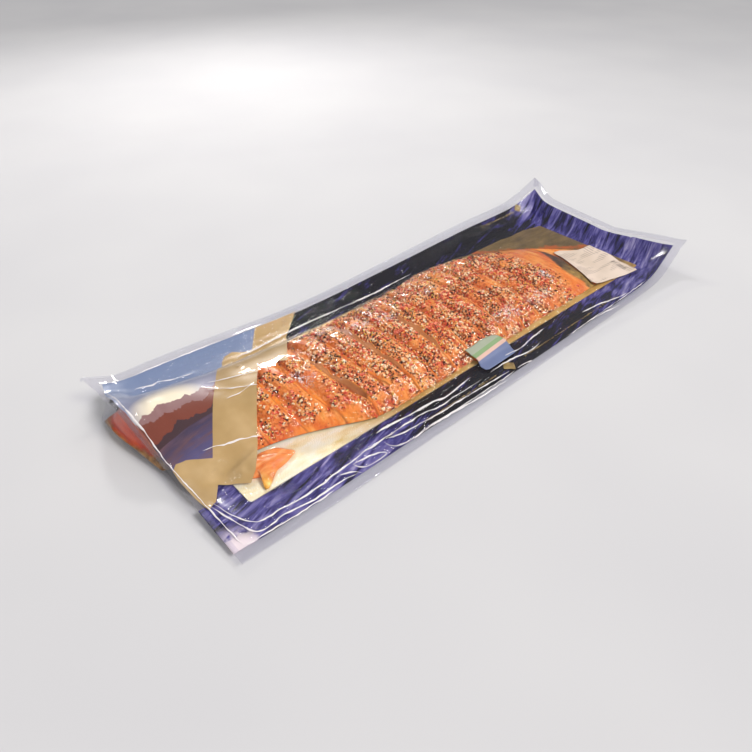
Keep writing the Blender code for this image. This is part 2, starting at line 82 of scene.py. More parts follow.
# Creases of the clear film: height, width, and the line each one follows.
CREASES = (
    (0.0013, 0.0016, ((-0.325, -0.067), (-0.322, -0.081), (-0.315, -0.096), (-0.308, -0.1065),
                      (-0.291, -0.106), (-0.268, -0.1085), (-0.246, -0.108), (-0.216, -0.1045),
                      (-0.191, -0.1027), (-0.166, -0.1025), (-0.140, -0.1013), (-0.114, -0.102),
                      (-0.098, -0.1066), (-0.075, -0.105), (-0.053, -0.106), (-0.035, -0.105))),
    (0.0014, 0.0018, ((-0.329, -0.071), (-0.322, -0.093), (-0.314, -0.1147), (-0.302, -0.1156),
                      (-0.288, -0.112), (-0.273, -0.1155), (-0.253, -0.117), (-0.238, -0.1156),
                      (-0.226, -0.116), (-0.213, -0.1186))),
    (0.0012, 0.0016, ((-0.226, -0.110), (-0.215, -0.113), (-0.210, -0.121))),
    (0.0013, 0.0016, ((-0.209, -0.1075), (-0.2045, -0.118), (-0.190, -0.119), (-0.174, -0.1185),
                      (-0.185, -0.110), (-0.209, -0.1075))),
    (0.0017, 0.0024, ((-0.1685, -0.0925), (-0.152, -0.0925), (-0.133, -0.0947), (-0.1146, -0.0961),
                      (-0.0986, -0.0966), (-0.0845, -0.1008), (-0.0626, -0.098), (-0.0417, -0.0954))),
    (0.0014, 0.0017, ((-0.170, -0.1055), (-0.1676, -0.117), (-0.152, -0.121), (-0.131, -0.119),
                      (-0.111, -0.119), (-0.092, -0.121), (-0.072, -0.122), (-0.052, -0.1235),
                      (-0.030, -0.1235), (-0.016, -0.124))),
    (0.0013, 0.0016, ((-0.166, -0.1035), (-0.150, -0.109), (-0.128, -0.110), (-0.104, -0.113),
                      (-0.080, -0.1125), (-0.055, -0.114), (-0.030, -0.115), (-0.004, -0.1165))),
    (0.0013, 0.0016, ((0.0075, -0.094), (0.035, -0.099), (0.058, -0.095), (0.086, -0.092))),
    (0.0013, 0.0016, ((-0.020, -0.104), (0.010, -0.103), (0.040, -0.109), (0.062, -0.106))),
    (0.0012, 0.0016, ((0.006, -0.118), (0.027, -0.121))),
    (0.0015, 0.0018, ((0.146, -0.102), (0.178, -0.106), (0.201, -0.115), (0.216, -0.1175))),
    (0.0013, 0.0016, ((0.134, -0.120), (0.159, -0.1215), (0.187, -0.126))),
    (0.0015, 0.0018, ((-0.205, 0.092), (-0.1756, 0.091), (-0.1285, 0.095), (-0.084, 0.094),
                      (-0.049, 0.093), (-0.013, 0.0915), (0.022, 0.093), (0.060, 0.095))),
    (0.0011, 0.0015, ((-0.310, 0.104), (-0.304, 0.1056), (-0.290, 0.1035), (-0.283, 0.105),
                      (-0.269, 0.0994), (-0.250, 0.098))),
    (0.0007, 0.0012, ((-0.2620, 0.0400), (-0.2555, 0.0367), (-0.2375, 0.0289), (-0.2166, 0.0231))),
    (0.0007, 0.0012, ((-0.2680, 0.0300), (-0.2623, 0.0271), (-0.2463, 0.0150), (-0.2283, 0.0058))),
    (0.0007, 0.0012, ((-0.2610, 0.0088), (-0.2428, 0.0071), (-0.2300, 0.0100))),
    (0.0008, 0.0013, ((-0.3050, -0.0200), (-0.2893, -0.0256), (-0.2739, -0.0301), (-0.2550, -0.0362))),
)
# Small dents and pips in the clear film that catch the light: place, radius and height.
PIPS = ((0.282, 0.1185, 0.0045, 0.0020), (0.310, 0.081, 0.0040, 0.0020), (0.204, 0.111, 0.0050, 0.0018),
        (0.313, 0.057, 0.0025, 0.0014), (0.304, 0.0145, 0.0030, 0.0016), (0.302, 0.008, 0.0030, 0.0015),
        (0.227, -0.117, 0.0050, 0.0018), (0.321, -0.093, 0.0045, 0.0020), (0.312, -0.080, 0.0030, 0.0014),
        (-0.304, -0.009, 0.0040, 0.0014), (-0.225, 0.042, 0.0035, 0.0012), (-0.216, -0.099, 0.0030, 0.0016),
        (0.118, -0.098, 0.0018, 0.0012), (0.139, -0.098, 0.0018, 0.0012), (0.094, -0.094, 0.0020, 0.0012))

# Ridges where the welded strip begins, given like the creases.
SEAL_LINES = (
    (0.0010, 0.0016, ((-0.3345, 0.110), (-0.3362, 0.080), (-0.3366, 0.050), (-0.3350, 0.020), (-0.3335, -0.010),
                      (-0.3322, -0.040), (-0.3310, -0.070), (-0.3300, -0.100), (-0.3285, -0.119))),
    (0.0010, 0.0014, ((-0.3285, -0.1190), (-0.300, -0.1195), (-0.270, -0.1200), (-0.240, -0.1197))),
    (0.0010, 0.0013, ((-0.150, -0.1203), (-0.100, -0.1203), (-0.050, -0.1200), (0.000, -0.1200))),
    (0.0010, 0.0012, ((0.090, -0.1200), (0.140, -0.1197), (0.200, -0.1195), (0.260, -0.1180))),
    (0.0010, 0.0012, ((-0.300, 0.1200), (-0.250, 0.1197), (-0.200, 0.1200))),
    (0.0010, 0.0012, ((0.338, -0.090), (0.3365, -0.050), (0.335, 0.000), (0.335, 0.060))))
# Width of a fold's ridge, painted white as its highlight, as a share of the crease it follows.
FOLD_SHARE = 0.58

# Parts of the crust where the film is crinkled and has white flecks painted on as glints: place and reach along and
# across.
GLINTS = ((-0.187, -0.010, 0.016, 0.018), (-0.090, 0.018, 0.018, 0.012), (-0.060, 0.012, 0.022, 0.012),
          (0.018, 0.022, 0.016, 0.010), (0.060, -0.058, 0.034, 0.014), (0.120, -0.058, 0.034, 0.014),
          (0.156, -0.040, 0.012, 0.020), (-0.215, 0.010, 0.012, 0.020), (-0.125, 0.040, 0.016, 0.010))

BAND_OUTLINE = ((-0.1045, 0.1195), (-0.1220, 0.1045), (-0.1390, 0.0900), (-0.1600, 0.0560),
                (-0.1850, 0.0190), (-0.1970, 0.0265), (-0.2095, 0.0335), (-0.2250, 0.0125),
                (-0.2400, -0.0090), (-0.2600, -0.0368), (-0.2700, -0.0500), (-0.2790, -0.0610),
                (-0.2885, -0.0676), (-0.3000, -0.0590), (-0.3105, -0.0507), (-0.3165, -0.0590),
                (-0.3220, -0.0670), (-0.3315, -0.0730), (-0.3345, -0.0560), (-0.3355, -0.0340),
                (-0.3345, -0.0200), (-0.3290, -0.0160), (-0.3205, -0.0185), (-0.3105, -0.0240), (-0.3010, -0.0287), (-0.2930, -0.0180),
                (-0.2715, 0.0139), (-0.2555, 0.0367), (-0.2360, 0.0665), (-0.2174, 0.0958),
                (-0.2110, 0.1010), (-0.2005, 0.1030), (-0.1911, 0.0964), (-0.1816, 0.0934),
                (-0.1700, 0.1080), (-0.1600, 0.1195))
PICTURE_OUTLINE = ((-0.3330, 0.1195), (-0.3368, 0.1050), (-0.3395, 0.0900), (-0.3398, 0.0700),
                   (-0.3392, 0.0550), (-0.3372, 0.0250), (-0.3358, 0.0000), (-0.3345, -0.0200),
                   (-0.3290, -0.0160), (-0.3205, -0.0185), (-0.3105, -0.0240), (-0.3010, -0.0287), (-0.2930, -0.0180),
                   (-0.2715, 0.0139), (-0.2555, 0.0367), (-0.2360, 0.0665), (-0.2174, 0.0958),
                   (-0.2110, 0.1010), (-0.2005, 0.1030), (-0.1911, 0.0964), (-0.1816, 0.0934),
                   (-0.1700, 0.1080), (-0.1600, 0.1195))
LABEL_OUTLINE = ((0.2390, 0.0060), (0.2500, 0.0045), (0.2590, -0.0030), (0.2690, -0.0110), (0.2780, -0.0140),
                 (0.2900, -0.0150), (0.2890, -0.0340), (0.2885, -0.0600), (0.2860, -0.0880), (0.2835, -0.0915),
                 (0.2600, -0.0885), (0.2370, -0.0830), (0.2190, -0.0810), (0.2110, -0.0785), (0.2080, -0.0725),
                 (0.2110, -0.0560), (0.2170, -0.0350), (0.2250, -0.0170))
STICKER_OUTLINE = ((-0.0249, -0.0716), (-0.0040, -0.0708), (0.0175, -0.0705), (0.0245, -0.0750), (0.0304, -0.0815),
                   (0.0308, -0.0888), (0.0275, -0.0985), (0.0250, -0.0995), (0.0040, -0.0998), (-0.0165, -0.1000),
                   (-0.0200, -0.0980), (-0.0209, -0.0921), (-0.0185, -0.0850), (-0.0228, -0.0773))

# ---------------------------------------------------------------- working on a piece


def only(piece):
    """Select this piece alone and make it the active one."""
    bpy.ops.object.select_all(action="DESELECT")
    piece.select_set(True)
    bpy.context.view_layer.objects.active = piece


def apply_modifier(piece, kind, **settings):
    only(piece)
    modifier = piece.modifiers.new(kind.title(), kind)
    for key, value in settings.items():
        setattr(modifier, key, value)
    bpy.ops.object.modifier_apply(modifier=modifier.name)


def corners(piece):
    """Every corner of a piece as a row of x, y and z."""
    flat = np.empty(len(piece.data.vertices) * 3)
    piece.data.vertices.foreach_get("co", flat)
    return flat.reshape(-1, 3)


def move_corners(piece, rows):
    piece.data.vertices.foreach_set("co", np.ascontiguousarray(rows).ravel())
    piece.data.update()


def corner_normals(piece):
    flat = np.empty(len(piece.data.vertices) * 3)
    piece.data.vertices.foreach_get("normal", flat)
    return flat.reshape(-1, 3)


def mark(piece, name, values):
    """Store one number for each corner, for the piece's material to read."""
    layer = piece.data.attributes.new(name, "FLOAT", "POINT")
    layer.data.foreach_set("value", np.ascontiguousarray(values, dtype=np.float32))


def smooth(piece, degrees=None):
    only(piece)
    if degrees is None:
        bpy.ops.object.shade_smooth()
    else:
        bpy.ops.object.shade_smooth_by_angle(angle=math.radians(degrees))


def finish_piece(piece, material, replaced=None):
    """Give a piece its material, tie it to the pack and hide the part it stands in for."""
    if material is not None:
        piece.data.materials.clear()
        piece.data.materials.append(material)
    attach(piece, "root")
    if replaced:
        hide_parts(replaced)


def ramp(value, low, high):
    """Zero below low, one above high, and a smooth step between."""
    t = np.clip((value - low) / (high - low), 0.0, 1.0)
    return t * t * (3.0 - 2.0 * t)


def plateau(value, low, rising, falling, high):
    return ramp(value, low, rising) * (1.0 - ramp(value, falling, high))


def rough(places, scale, depth=3, seed=0.0):
    """Cloudy noise between about -1 and 1 at each place."""
    out = np.empty(len(places))
    for index, (x, y, z) in enumerate(places):
        spot = Vector((x * scale + seed, y * scale + 0.7 * seed, z * scale))
        out[index] = noise.fractal(spot, 1.0, 2.0, depth)
    return out


def tree_of(piece):
    return BVHTree.FromObject(piece, bpy.context.evaluated_depsgraph_get())


def drop_on(tree, xs, ys, miss=float("nan")):
    """Height at which each place, seen from above, meets a surface."""
    heights = np.full(len(xs), miss)
    down = Vector((0.0, 0.0, -1.0))
    for index, (x, y) in enumerate(zip(xs, ys)):
        hit = tree.ray_cast(Vector((x, y, 0.3)), down)[0]
        if hit:
            heights[index] = hit.z
    return heights


def blur(table, sigma):
    """Soften a table of heights in both directions."""
    reach = max(1, int(3.0 * sigma + 0.5))
    weights = np.exp(-0.5 * (np.arange(-reach, reach + 1) / sigma) ** 2)
    weights /= weights.sum()
    for axis in (0, 1):
        pad = [(0, 0), (0, 0)]
        pad[axis] = (reach, reach)
        wide = np.pad(table, pad, mode="edge")
        length = table.shape[axis]
        table = sum(w * np.take(wide, range(k, k + length), axis=axis) for k, w in enumerate(weights))
    return table


def highest_near(table, reach=1):
    out = table.copy()
    for dx in range(-reach, reach + 1):
        for dy in range(-reach, reach + 1):
            out = np.maximum(out, np.roll(np.roll(table, dx, axis=0), dy, axis=1))
    return out


def line_distance(xs, ys, line):
    """Distance from each place to a line of points."""
    best = np.full(xs.shape, 1.0)
    for (ax, ay), (bx, by) in zip(line[:-1], line[1:]):
        run = (bx - ax) ** 2 + (by - ay) ** 2
        t = np.clip(((xs - ax) * (bx - ax) + (ys - ay) * (by - ay)) / run, 0.0, 1.0)
        best = np.minimum(best, np.hypot(xs - ax - t * (bx - ax), ys - ay - t * (by - ay)))
    return best


# ---------------------------------------------------------------- materials


def tint(red, green, blue):
    """Shader colour for a colour as it is seen, each part from 0 to 255."""
    parts = []
    for part in (red, green, blue):
        share = part / 255.0
        parts.append(share / 12.92 if share <= 0.04045 else ((share + 0.055) / 1.055) ** 2.4)
    return (*parts, 1.0)


class Finish:
    """One procedural material, put together node by node."""

    def __init__(self, name):
        self.material = bpy.data.materials.new(name)
        self.material.use_nodes = True
        self.tree = self.material.node_tree
        self.shader = self.tree.nodes["Principled BSDF"]
        self.output = self.tree.nodes["Material Output"]
        self.place = self.add("TexCoord", "Object")

    def feed(self, socket, value):
        if isinstance(value, bpy.types.NodeSocket):
            self.tree.links.new(value, socket)
        else:
            socket.default_value = value

    def add(self, kind, out=0, inputs=None, **settings):
        node = self.tree.nodes.new("ShaderNode" + kind)
        for key, value in settings.items():
            setattr(node, key, value)
        for key, value in (inputs or {}).items():
            self.feed(node.inputs[key], value)
        return node.outputs[out]

    def stretched(self, scale, turn=0.0, shift=(0.0, 0.0, 0.0)):
        return self.add("Mapping", 0, {"Vector": self.place, "Scale": scale, "Location": shift,
                                       "Rotation": (0.0, 0.0, turn)})

    def slanted(self, turn, along, across):
        """Places turned by an angle, then drawn out into long grain."""
        return self.add("Mapping", 0, {"Vector": self.place, "Rotation": (0.0, 0.0, turn),
                                       "Scale": (1.0 / along, 1.0 / across, 0.1)}, vector_type="TEXTURE")

    def clouds(self, scale, detail=4.0, roughness=0.55, place=None, warp=0.0):
        return self.add("TexNoise", "Fac", {"Vector": place or self.place, "Scale": scale, "Detail": detail,
                                            "Roughness": roughness, "Distortion": warp})

    def cells(self, scale, out="Distance", feature="F1", place=None, uneven=1.0):
        return self.add("TexVoronoi", out, {"Vector": place or self.place, "Scale": scale,
                                            "Randomness": uneven}, feature=feature)

    def steps(self, share, stops, mode="LINEAR"):
        node = self.tree.nodes.new("ShaderNodeValToRGB")
        node.color_ramp.interpolation = mode
        band = node.color_ramp.elements
        while len(band) < len(stops):
            band.new(0.5)
        for element, (place, colour) in zip(band, stops):
            element.position = place
            element.color = colour if isinstance(colour, tuple) else (colour, colour, colour, 1.0)
        self.feed(node.inputs["Fac"], share)
        return node.outputs["Color"]

    def mixed(self, share, first, second, mode="MIX"):
        node = self.tree.nodes.new("ShaderNodeMix")
        node.data_type = "RGBA"
        node.blend_type = mode
        self.feed(node.inputs[0], share)
        self.feed(node.inputs[6], first)
        self.feed(node.inputs[7], second)
        return node.outputs[2]

    def maths(self, operation, first, second=0.0, third=0.0):
        return self.add("Math", 0, {0: first, 1: second, 2: third}, operation=operation)

    def reading(self, name):
        return self.add("Attribute", "Fac", attribute_name=name)

    def axis(self, letter):
        return self.add("SeparateXYZ", letter, {"Vector": self.place})

    def bump(self, height, strength=1.0, distance=0.001):
        return self.add("Bump", 0, {"Height": height, "Strength": strength, "Distance": distance})

    def set(self, **inputs):
        for key, value in inputs.items():
            self.feed(self.shader.inputs[key.replace("_", " ")], value)
        return self


def salmon_finish():
    """Moist flesh under a dry crust of chopped seasoning, with the skin's dark edge at both ends, and shade painted
    into the cuts and onto the faces of those that gape.
    """
    m = Finish("smoked salmon")
    crust, skin, gape, rim = m.reading("crust"), m.reading("skin"), m.reading("gape"), m.reading("rim")
    grain = m.cells(480.0, "Color")
    bits = m.steps(m.add("SeparateXYZ", "X", {"Vector": grain}),
                   [(0.0, tint(56, 14, 4)), (0.22, tint(150, 60, 22)), (0.42, tint(220, 122, 60)),
                    (0.66, tint(238, 146, 86)), (0.88, tint(252, 182, 124)), (0.98, tint(255, 230, 190))])
    patches = m.clouds(28.0, 5.0)
    bits = m.mixed(m.steps(patches, [(0.48, 0.0), (0.64, 0.35)]), bits, tint(196, 62, 26))
    bits = m.mixed(m.steps(m.clouds(17.0, 4.0, place=m.stretched((1.0, 1.0, 1.0), 0.0, (3.0, 1.0, 0.0))),
                           [(0.50, 0.0), (0.66, 0.35)]), bits, tint(236, 152, 62))
    grain_lines = m.clouds(90.0, 4.0, 0.5, m.stretched((2.6, 0.35, 1.0)))
    bare = m.steps(grain_lines, [(0.32, tint(222, 108, 32)), (0.50, tint(242, 140, 52)), (0.70, tint(254, 178, 96))])
    bare = m.mixed(m.steps(m.clouds(40.0, 4.0), [(0.46, 0.0), (0.66, 0.7)]), bare, tint(214, 84, 38))
    # The face beyond a gaping cut: smooth flesh, painted brown as shade.
    open_face_painted_shade = m.steps(m.clouds(60.0, 3.0, 0.5, m.stretched((1.6, 0.5, 1.0))),
                        [(0.30, tint(160, 94, 48)), (0.52, tint(182, 114, 64)), (0.75, tint(202, 134, 82))])
    bare = m.mixed(gape, bare, open_face_painted_shade)
    bare = m.mixed(rim, bare, tint(250, 156, 58))
    near_end = m.steps(m.maths("MULTIPLY_ADD", m.axis("X"), -60.0, -19.5), [(0.0, 0.0), (0.6, 1.0)])
    bare = m.mixed(near_end, bare, m.steps(grain_lines, [(0.35, tint(208, 48, 0)), (0.65, tint(240, 90, 10))]))
    specks = m.steps(m.cells(300.0), [(0.12, 1.0), (0.20, 0.0)])
    specks = m.maths("MULTIPLY", specks, m.steps(m.clouds(70.0, 2.0), [(0.48, 0.0), (0.56, 0.8)]))
    bare = m.mixed(specks, bare, tint(120, 48, 20))
    # Painted shade: the bottom of each cut is darkened.
    bare = m.mixed(m.reading("depth"), bare, tint(140, 58, 16))
    colour = m.mixed(crust, bare, bits)
    y_share = m.steps(m.maths("MULTIPLY_ADD", m.axis("Y"), -18.0, -0.1), [(0.35, 0.0), (0.80, 1.0)])
    skin_tone = m.clouds(110.0, 4.0)
    dark = m.steps(skin_tone, [(0.35, tint(44, 26, 14)), (0.65, tint(104, 70, 36))])
    golden = m.steps(skin_tone, [(0.35, tint(96, 66, 30)), (0.65, tint(182, 148, 80))])
    tan = m.steps(skin_tone, [(0.35, tint(112, 70, 34)), (0.65, tint(186, 140, 84))])
    colour = m.mixed(skin, colour, m.mixed(near_end, m.mixed(y_share, dark, golden), tan))
    relief = m.maths("ADD", m.maths("MULTIPLY", m.cells(480.0), crust), m.maths("MULTIPLY", grain_lines, 0.35))
    m.set(Base_Color=colour, Roughness=m.steps(crust, [(0.0, 0.30), (1.0, 0.50)]),
          Normal=m.bump(relief, 0.7, 0.0010))
    m.shader.inputs["Subsurface Weight"].default_value = 0.08
    m.shader.inputs["Subsurface Radius"].default_value = (0.006, 0.003, 0.001)
    m.shader.inputs["Subsurface Scale"].default_value = 0.4
    m.shader.inputs["Coat Weight"].default_value = 0.12
    m.shader.inputs["Coat Roughness"].default_value = 0.18
    return m.material


def belly_finish():
    m = Finish("belly flesh")
    grain = m.clouds(120.0, 4.0, 0.5, m.stretched((0.6, 2.2, 1.0), 0.4))
    colour = m.steps(grain, [(0.30, tint(226, 116, 48)), (0.52, tint(240, 146, 78)), (0.75, tint(246, 178, 116))])
    specks = m.steps(m.cells(330.0), [(0.07, 1.0), (0.12, 0.0)])
    colour = m.mixed(m.maths("MULTIPLY", specks, 0.7), colour, tint(120, 46, 16))
    ray = m.steps(m.clouds(150.0, 3.0), [(0.35, tint(196, 116, 38)), (0.55, tint(232, 178, 80)),
                                        (0.72, tint(250, 226, 150))])
    colour = m.mixed(m.reading("fin"), colour, ray)
    m.set(Base_Color=colour, Roughness=0.28, Normal=m.bump(grain, 0.4, 0.0008))
    m.shader.inputs["Subsurface Weight"].default_value = 0.10
    m.shader.inputs["Subsurface Radius"].default_value = (0.006, 0.003, 0.001)
    m.shader.inputs["Subsurface Scale"].default_value = 0.4
    m.shader.inputs["Coat Weight"].default_value = 0.3
    return m.material


def crumb_finish(name, stops, roughness):
    """One kind of seasoning, its colour drifting from piece to piece."""
    m = Finish(name)
    drift = m.add("SeparateXYZ", "X", {"Vector": m.cells(520.0, "Color")})
    m.set(Base_Color=m.steps(drift, stops), Roughness=roughness, Normal=m.bump(m.clouds(900.0, 2.0), 0.4, 0.0003))
    return m.material


def board_finish():
    """Gold card pressed with a fine slanting pattern, painted pale at its near end as a highlight and browner at the
    far one as shade.
    """
    m = Finish("gold card")
    x, y = m.axis("X"), m.axis("Y")
    ridges = m.add("TexWave", "Fac", {"Vector": m.stretched((1.0, 1.0, 1.0), 0.6), "Scale": 150.0,
                                      "Distortion": 9.0, "Detail": 3.0, "Detail Scale": 2.0})
    mottled = m.clouds(45.0, 5.0, 0.6, m.stretched((0.7, 1.8, 1.0), 0.5))
    gold = m.steps(mottled, [(0.30, tint(196, 148, 74)), (0.50, tint(226, 182, 104)), (0.72, tint(244, 212, 146))])
    pale = m.steps(mottled, [(0.30, tint(240, 214, 150)), (0.48, tint(252, 240, 206)), (0.66, tint(255, 251, 236))])
    dull = m.steps(mottled, [(0.30, tint(96, 78, 48)), (0.55, tint(126, 104, 66)), (0.80, tint(158, 128, 80))])
    # Painted highlight: the near end of the card turns pale cream.
    paler = m.steps(m.maths("MULTIPLY_ADD", x, -5.5, -0.62), [(0.0, 0.0), (0.42, 1.0)])
    # Painted shade: the far corner turns dull olive brown; the oil stain is kept to this corner too.
    far_shade_share = m.steps(m.maths("ADD", m.maths("MULTIPLY_ADD", x, 5.0, -0.85), m.maths("MULTIPLY", y, 5.0)),
                     [(0.10, 0.0), (0.40, 1.0)])
    colour = m.mixed(far_shade_share, m.mixed(paler, gold, pale), dull)
    oily = m.maths("ADD", m.maths("MULTIPLY_ADD", x, 30.0, -30.0 * 0.245), m.maths("MULTIPLY_ADD", y, 44.0, -44.0 * 0.030))
    oily = m.maths("MULTIPLY_ADD", m.clouds(60.0, 3.0), 1.4, m.maths("ABSOLUTE", oily))
    colour = m.mixed(m.maths("MULTIPLY", far_shade_share, m.steps(oily, [(0.75, 0.85), (1.15, 0.0)])), colour, tint(196, 98, 44))
    m.set(Base_Color=colour, Metallic=0.20, Roughness=m.steps(ridges, [(0.0, 0.32), (1.0, 0.42)]),
          Normal=m.bump(ridges, 0.22, 0.0005))
    return m.material


def printed_finish():
    """Printed film: near black to deep blue, with long pale lavender brush strokes on the slant."""
    m = Finish("printed film")
    strokes = m.clouds(1.0, 4.0, 0.60, m.slanted(math.radians(15.0), 22.0, 130.0), 0.8)
    fine = m.clouds(1.0, 3.0, 0.5, m.slanted(math.radians(20.0), 50.0, 420.0), 0.5)
    patches = m.clouds(22.0, 3.0)
    streaks = m.maths("MULTIPLY_ADD", fine, 0.45, m.maths("MULTIPLY_ADD", strokes, 2.00, -0.80))
    streaks = m.maths("MULTIPLY_ADD", patches, 0.60, streaks)
    streaks = m.maths("ADD", streaks, m.maths("MULTIPLY_ADD", m.reading("lively"), 0.46, -0.63))
    colour = m.steps(streaks, [(0.16, tint(12, 10, 22)), (0.32, tint(30, 26, 62)), (0.46, tint(52, 47, 110)),
                               (0.60, tint(80, 74, 144)), (0.78, tint(120, 114, 172)), (1.0, tint(172, 164, 206))])
    # Painted highlight: irregular white patches at the near front corner.
    painted_corner_highlight = m.maths("MULTIPLY", m.reading("corner"), m.steps(m.clouds(60.0, 3.0), [(0.42, 0.0), (0.50, 1.0)]))
    colour = m.mixed(painted_corner_highlight, colour, tint(240, 226, 232))
    m.set(Base_Color=colour, Roughness=0.20, Normal=m.bump(m.clouds(45.0, 3.0), 0.2, 0.002))
    return m.material


def clear_finish(name, shade, haze, veil, grain=None, edge_shine=0.50, base_shine=0.040):
    """Thin clear film: see-through, with a sharp gloss that grows towards its edges. Given a crinkle reading, white
    flecks are also painted into it as glints.
    """
    m = Finish(name)
    fine = m.clouds(160.0, 3.0, 0.5)
    normal = m.bump(fine, 0.12, 0.0008)
    if grain:
        close = m.maths("MULTIPLY", m.cells(560.0), m.reading(grain))
        normal = m.add("Bump", 0, {"Height": close, "Strength": 0.75, "Distance": 0.0010, "Normal": normal})
        streaks = m.maths("MULTIPLY", m.clouds(1.0, 5.0, 0.62, m.slanted(0.03, 34.0, 300.0), 0.6), m.reading("loose"))
        normal = m.add("Bump", 0, {"Height": streaks, "Strength": 0.60, "Distance": 0.0022, "Normal": normal})
    m.tree.nodes.remove(m.shader)
    clear = m.add("BsdfTransparent", 0, {"Color": shade})
    gloss = m.add("BsdfGlossy", 0, {"Color": (1.0, 1.0, 1.0, 1.0), "Roughness": haze, "Normal": normal})
    soft = m.add("BsdfDiffuse", 0, {"Color": tint(250, 246, 248), "Roughness": 0.5})
    if grain:
        # Painted glints: white flecks of diffuse veil where the film over the crust is crinkled.
        painted_glint_flecks = m.steps(m.clouds(300.0, 3.0, 0.6, warp=1.5), [(0.545, 0.0), (0.585, 0.95)])
        crinkled = m.steps(m.reading(grain), [(0.40, 0.0), (0.85, 1.0)])
        veil = m.maths("ADD", m.maths("MULTIPLY", painted_glint_flecks, crinkled), veil)
    body = m.add("MixShader", 0, {0: veil, 1: clear, 2: soft})
    slope = m.add("LayerWeight", "Facing", {"Blend": 0.5})
    shine = m.maths("MULTIPLY_ADD", m.maths("POWER", slope, 4.5), edge_shine, base_shine)
    film = m.add("MixShader", 0, {0: shine, 1: body, 2: gloss})
    m.tree.links.new(film, m.output.inputs["Surface"])
    return m.material


def band_finish():
    """Tan-gold printed band, a little paler in places."""
    m = Finish("tan gold band")
    patchy = m.clouds(22.0, 3.0)
    colour = m.steps(patchy, [(0.30, tint(176, 144, 92)), (0.52, tint(190, 158, 106)), (0.78, tint(216, 184, 136))])
    m.set(Base_Color=colour, Roughness=0.36)
    m.shader.inputs["Alpha"].default_value = 0.94
    return m.material


def picture_finish():
    """Plain printed landscape: evening sky, a pale glow, rows of hills and a lilac lake."""
    m = Finish("hill landscape")
    x, y = m.axis("X"), m.axis("Y")
    height = m.maths("MULTIPLY_ADD", y, 6.2, 0.28)
    sky = m.steps(m.maths("ADD", height, m.maths("MULTIPLY_ADD", m.clouds(20.0, 4.0), 0.16, -0.08)),
                  [(0.40, tint(140, 130, 156)), (0.56, tint(146, 146, 170)), (0.78, tint(130, 142, 172)),
                   (1.0, tint(118, 134, 168))])
    across = m.maths("MULTIPLY_ADD", x, 26.0, 26.0 * 0.302)
    along = m.maths("MULTIPLY_ADD", y, 34.0, -34.0 * 0.036)
    near_glow = m.maths("ADD", m.maths("MULTIPLY", across, across), m.maths("MULTIPLY", along, along))
    glow = m.steps(near_glow, [(0.15, 1.0), (0.95, 0.0)])
    colour = m.mixed(glow, sky, tint(250, 238, 212))
    for level, swell, shade, seed in ((0.50, 0.26, tint(150, 112, 112), 1.0), (0.44, 0.28, tint(126, 62, 46), 4.0),
                                      (0.34, 0.20, tint(70, 46, 52), 8.0)):
        ridge = m.add("TexNoise", "Fac", {"Vector": m.stretched((34.0, 0.0, 0.0), 0.0, (seed, 0.0, 0.0)),
                                          "Scale": 1.0, "Detail": 4.0, "Roughness": 0.65})
        line = m.maths("MULTIPLY_ADD", ridge, swell, level - swell / 2.0)
        colour = m.mixed(m.maths("LESS_THAN", height, line), colour, shade)
    ripples = m.clouds(1.0, 4.0, 0.6, m.stretched((14.0, 100.0, 1.0)))
    water = m.steps(ripples, [(0.34, tint(70, 64, 106)), (0.52, tint(92, 86, 130)), (0.66, tint(112, 94, 116)),
                              (0.80, tint(180, 162, 172))])
    shadow = m.steps(m.maths("ADD", height, m.maths("MULTIPLY_ADD", ripples, 0.5, -0.25)), [(0.14, 0.0), (0.26, 0.65)])
    water = m.mixed(shadow, water, m.steps(ripples, [(0.40, tint(48, 32, 36)), (0.70, tint(118, 74, 66))]))
    colour = m.mixed(m.maths("LESS_THAN", height, 0.30), colour, water)
    m.set(Base_Color=colour, Roughness=0.36)
    return m.material


def label_finish():
    """White price label with faint grey bars in place of its print."""
    m = Finish("white label")
    bars = m.add("TexWave", "Fac", {"Vector": m.stretched((1.0, 1.0, 1.0), 0.10), "Scale": 70.0,
                                    "Distortion": 0.0}, bands_direction="X")
    gaps = m.clouds(70.0, 1.0, 0.5, m.stretched((0.4, 1.6, 1.0)))
    ink = m.maths("MULTIPLY", m.steps(bars, [(0.62, 0.0), (0.70, 1.0)]), m.steps(gaps, [(0.50, 0.0), (0.54, 0.5)]))
    paper = m.steps(m.clouds(30.0, 2.0), [(0.35, tint(212, 194, 178)), (0.65, tint(224, 206, 192))])
    colour = m.mixed(ink, paper, tint(118, 106, 98))
    x, y = m.axis("X"), m.axis("Y")
    block = m.maths("MULTIPLY", m.maths("COMPARE", x, MID_X + 0.2760, 0.0050), m.maths("COMPARE", y, MID_Y - 0.0700, 0.0120))
    thin_bars = m.steps(m.clouds(1.0, 2.0, 0.5, m.stretched((10.0, 900.0, 10.0))), [(0.49, 0.0), (0.51, 0.75)])
    colour = m.mixed(m.maths("MULTIPLY", block, thin_bars), colour, tint(70, 62, 60))
    m.set(Base_Color=colour, Roughness=0.55)
    return m.material


def sticker_finish():
    """Small sticker in plain colour fields: grey green above, a pale band and slate blue below."""
    m = Finish("small sticker")
    down = m.maths("MULTIPLY_ADD", m.axis("Y"), -21.7, m.maths("MULTIPLY_ADD", m.axis("Z"), -16.7, -1.17))
    down = m.maths("MULTIPLY_ADD", m.axis("X"), 2.0, down)
    field = m.steps(down, [(0.0, tint(158, 166, 146)), (0.30, tint(132, 160, 114)), (0.43, tint(220, 182, 168)),
                           (0.55, tint(112, 124, 162))], "CONSTANT")
    shade = m.steps(m.clouds(40.0, 3.0), [(0.3, 0.90), (0.7, 1.0)])
    m.set(Base_Color=m.mixed(1.0, field, shade, "MULTIPLY"), Roughness=0.40)
    return m.material


# ---------------------------------------------------------------- the side of salmon


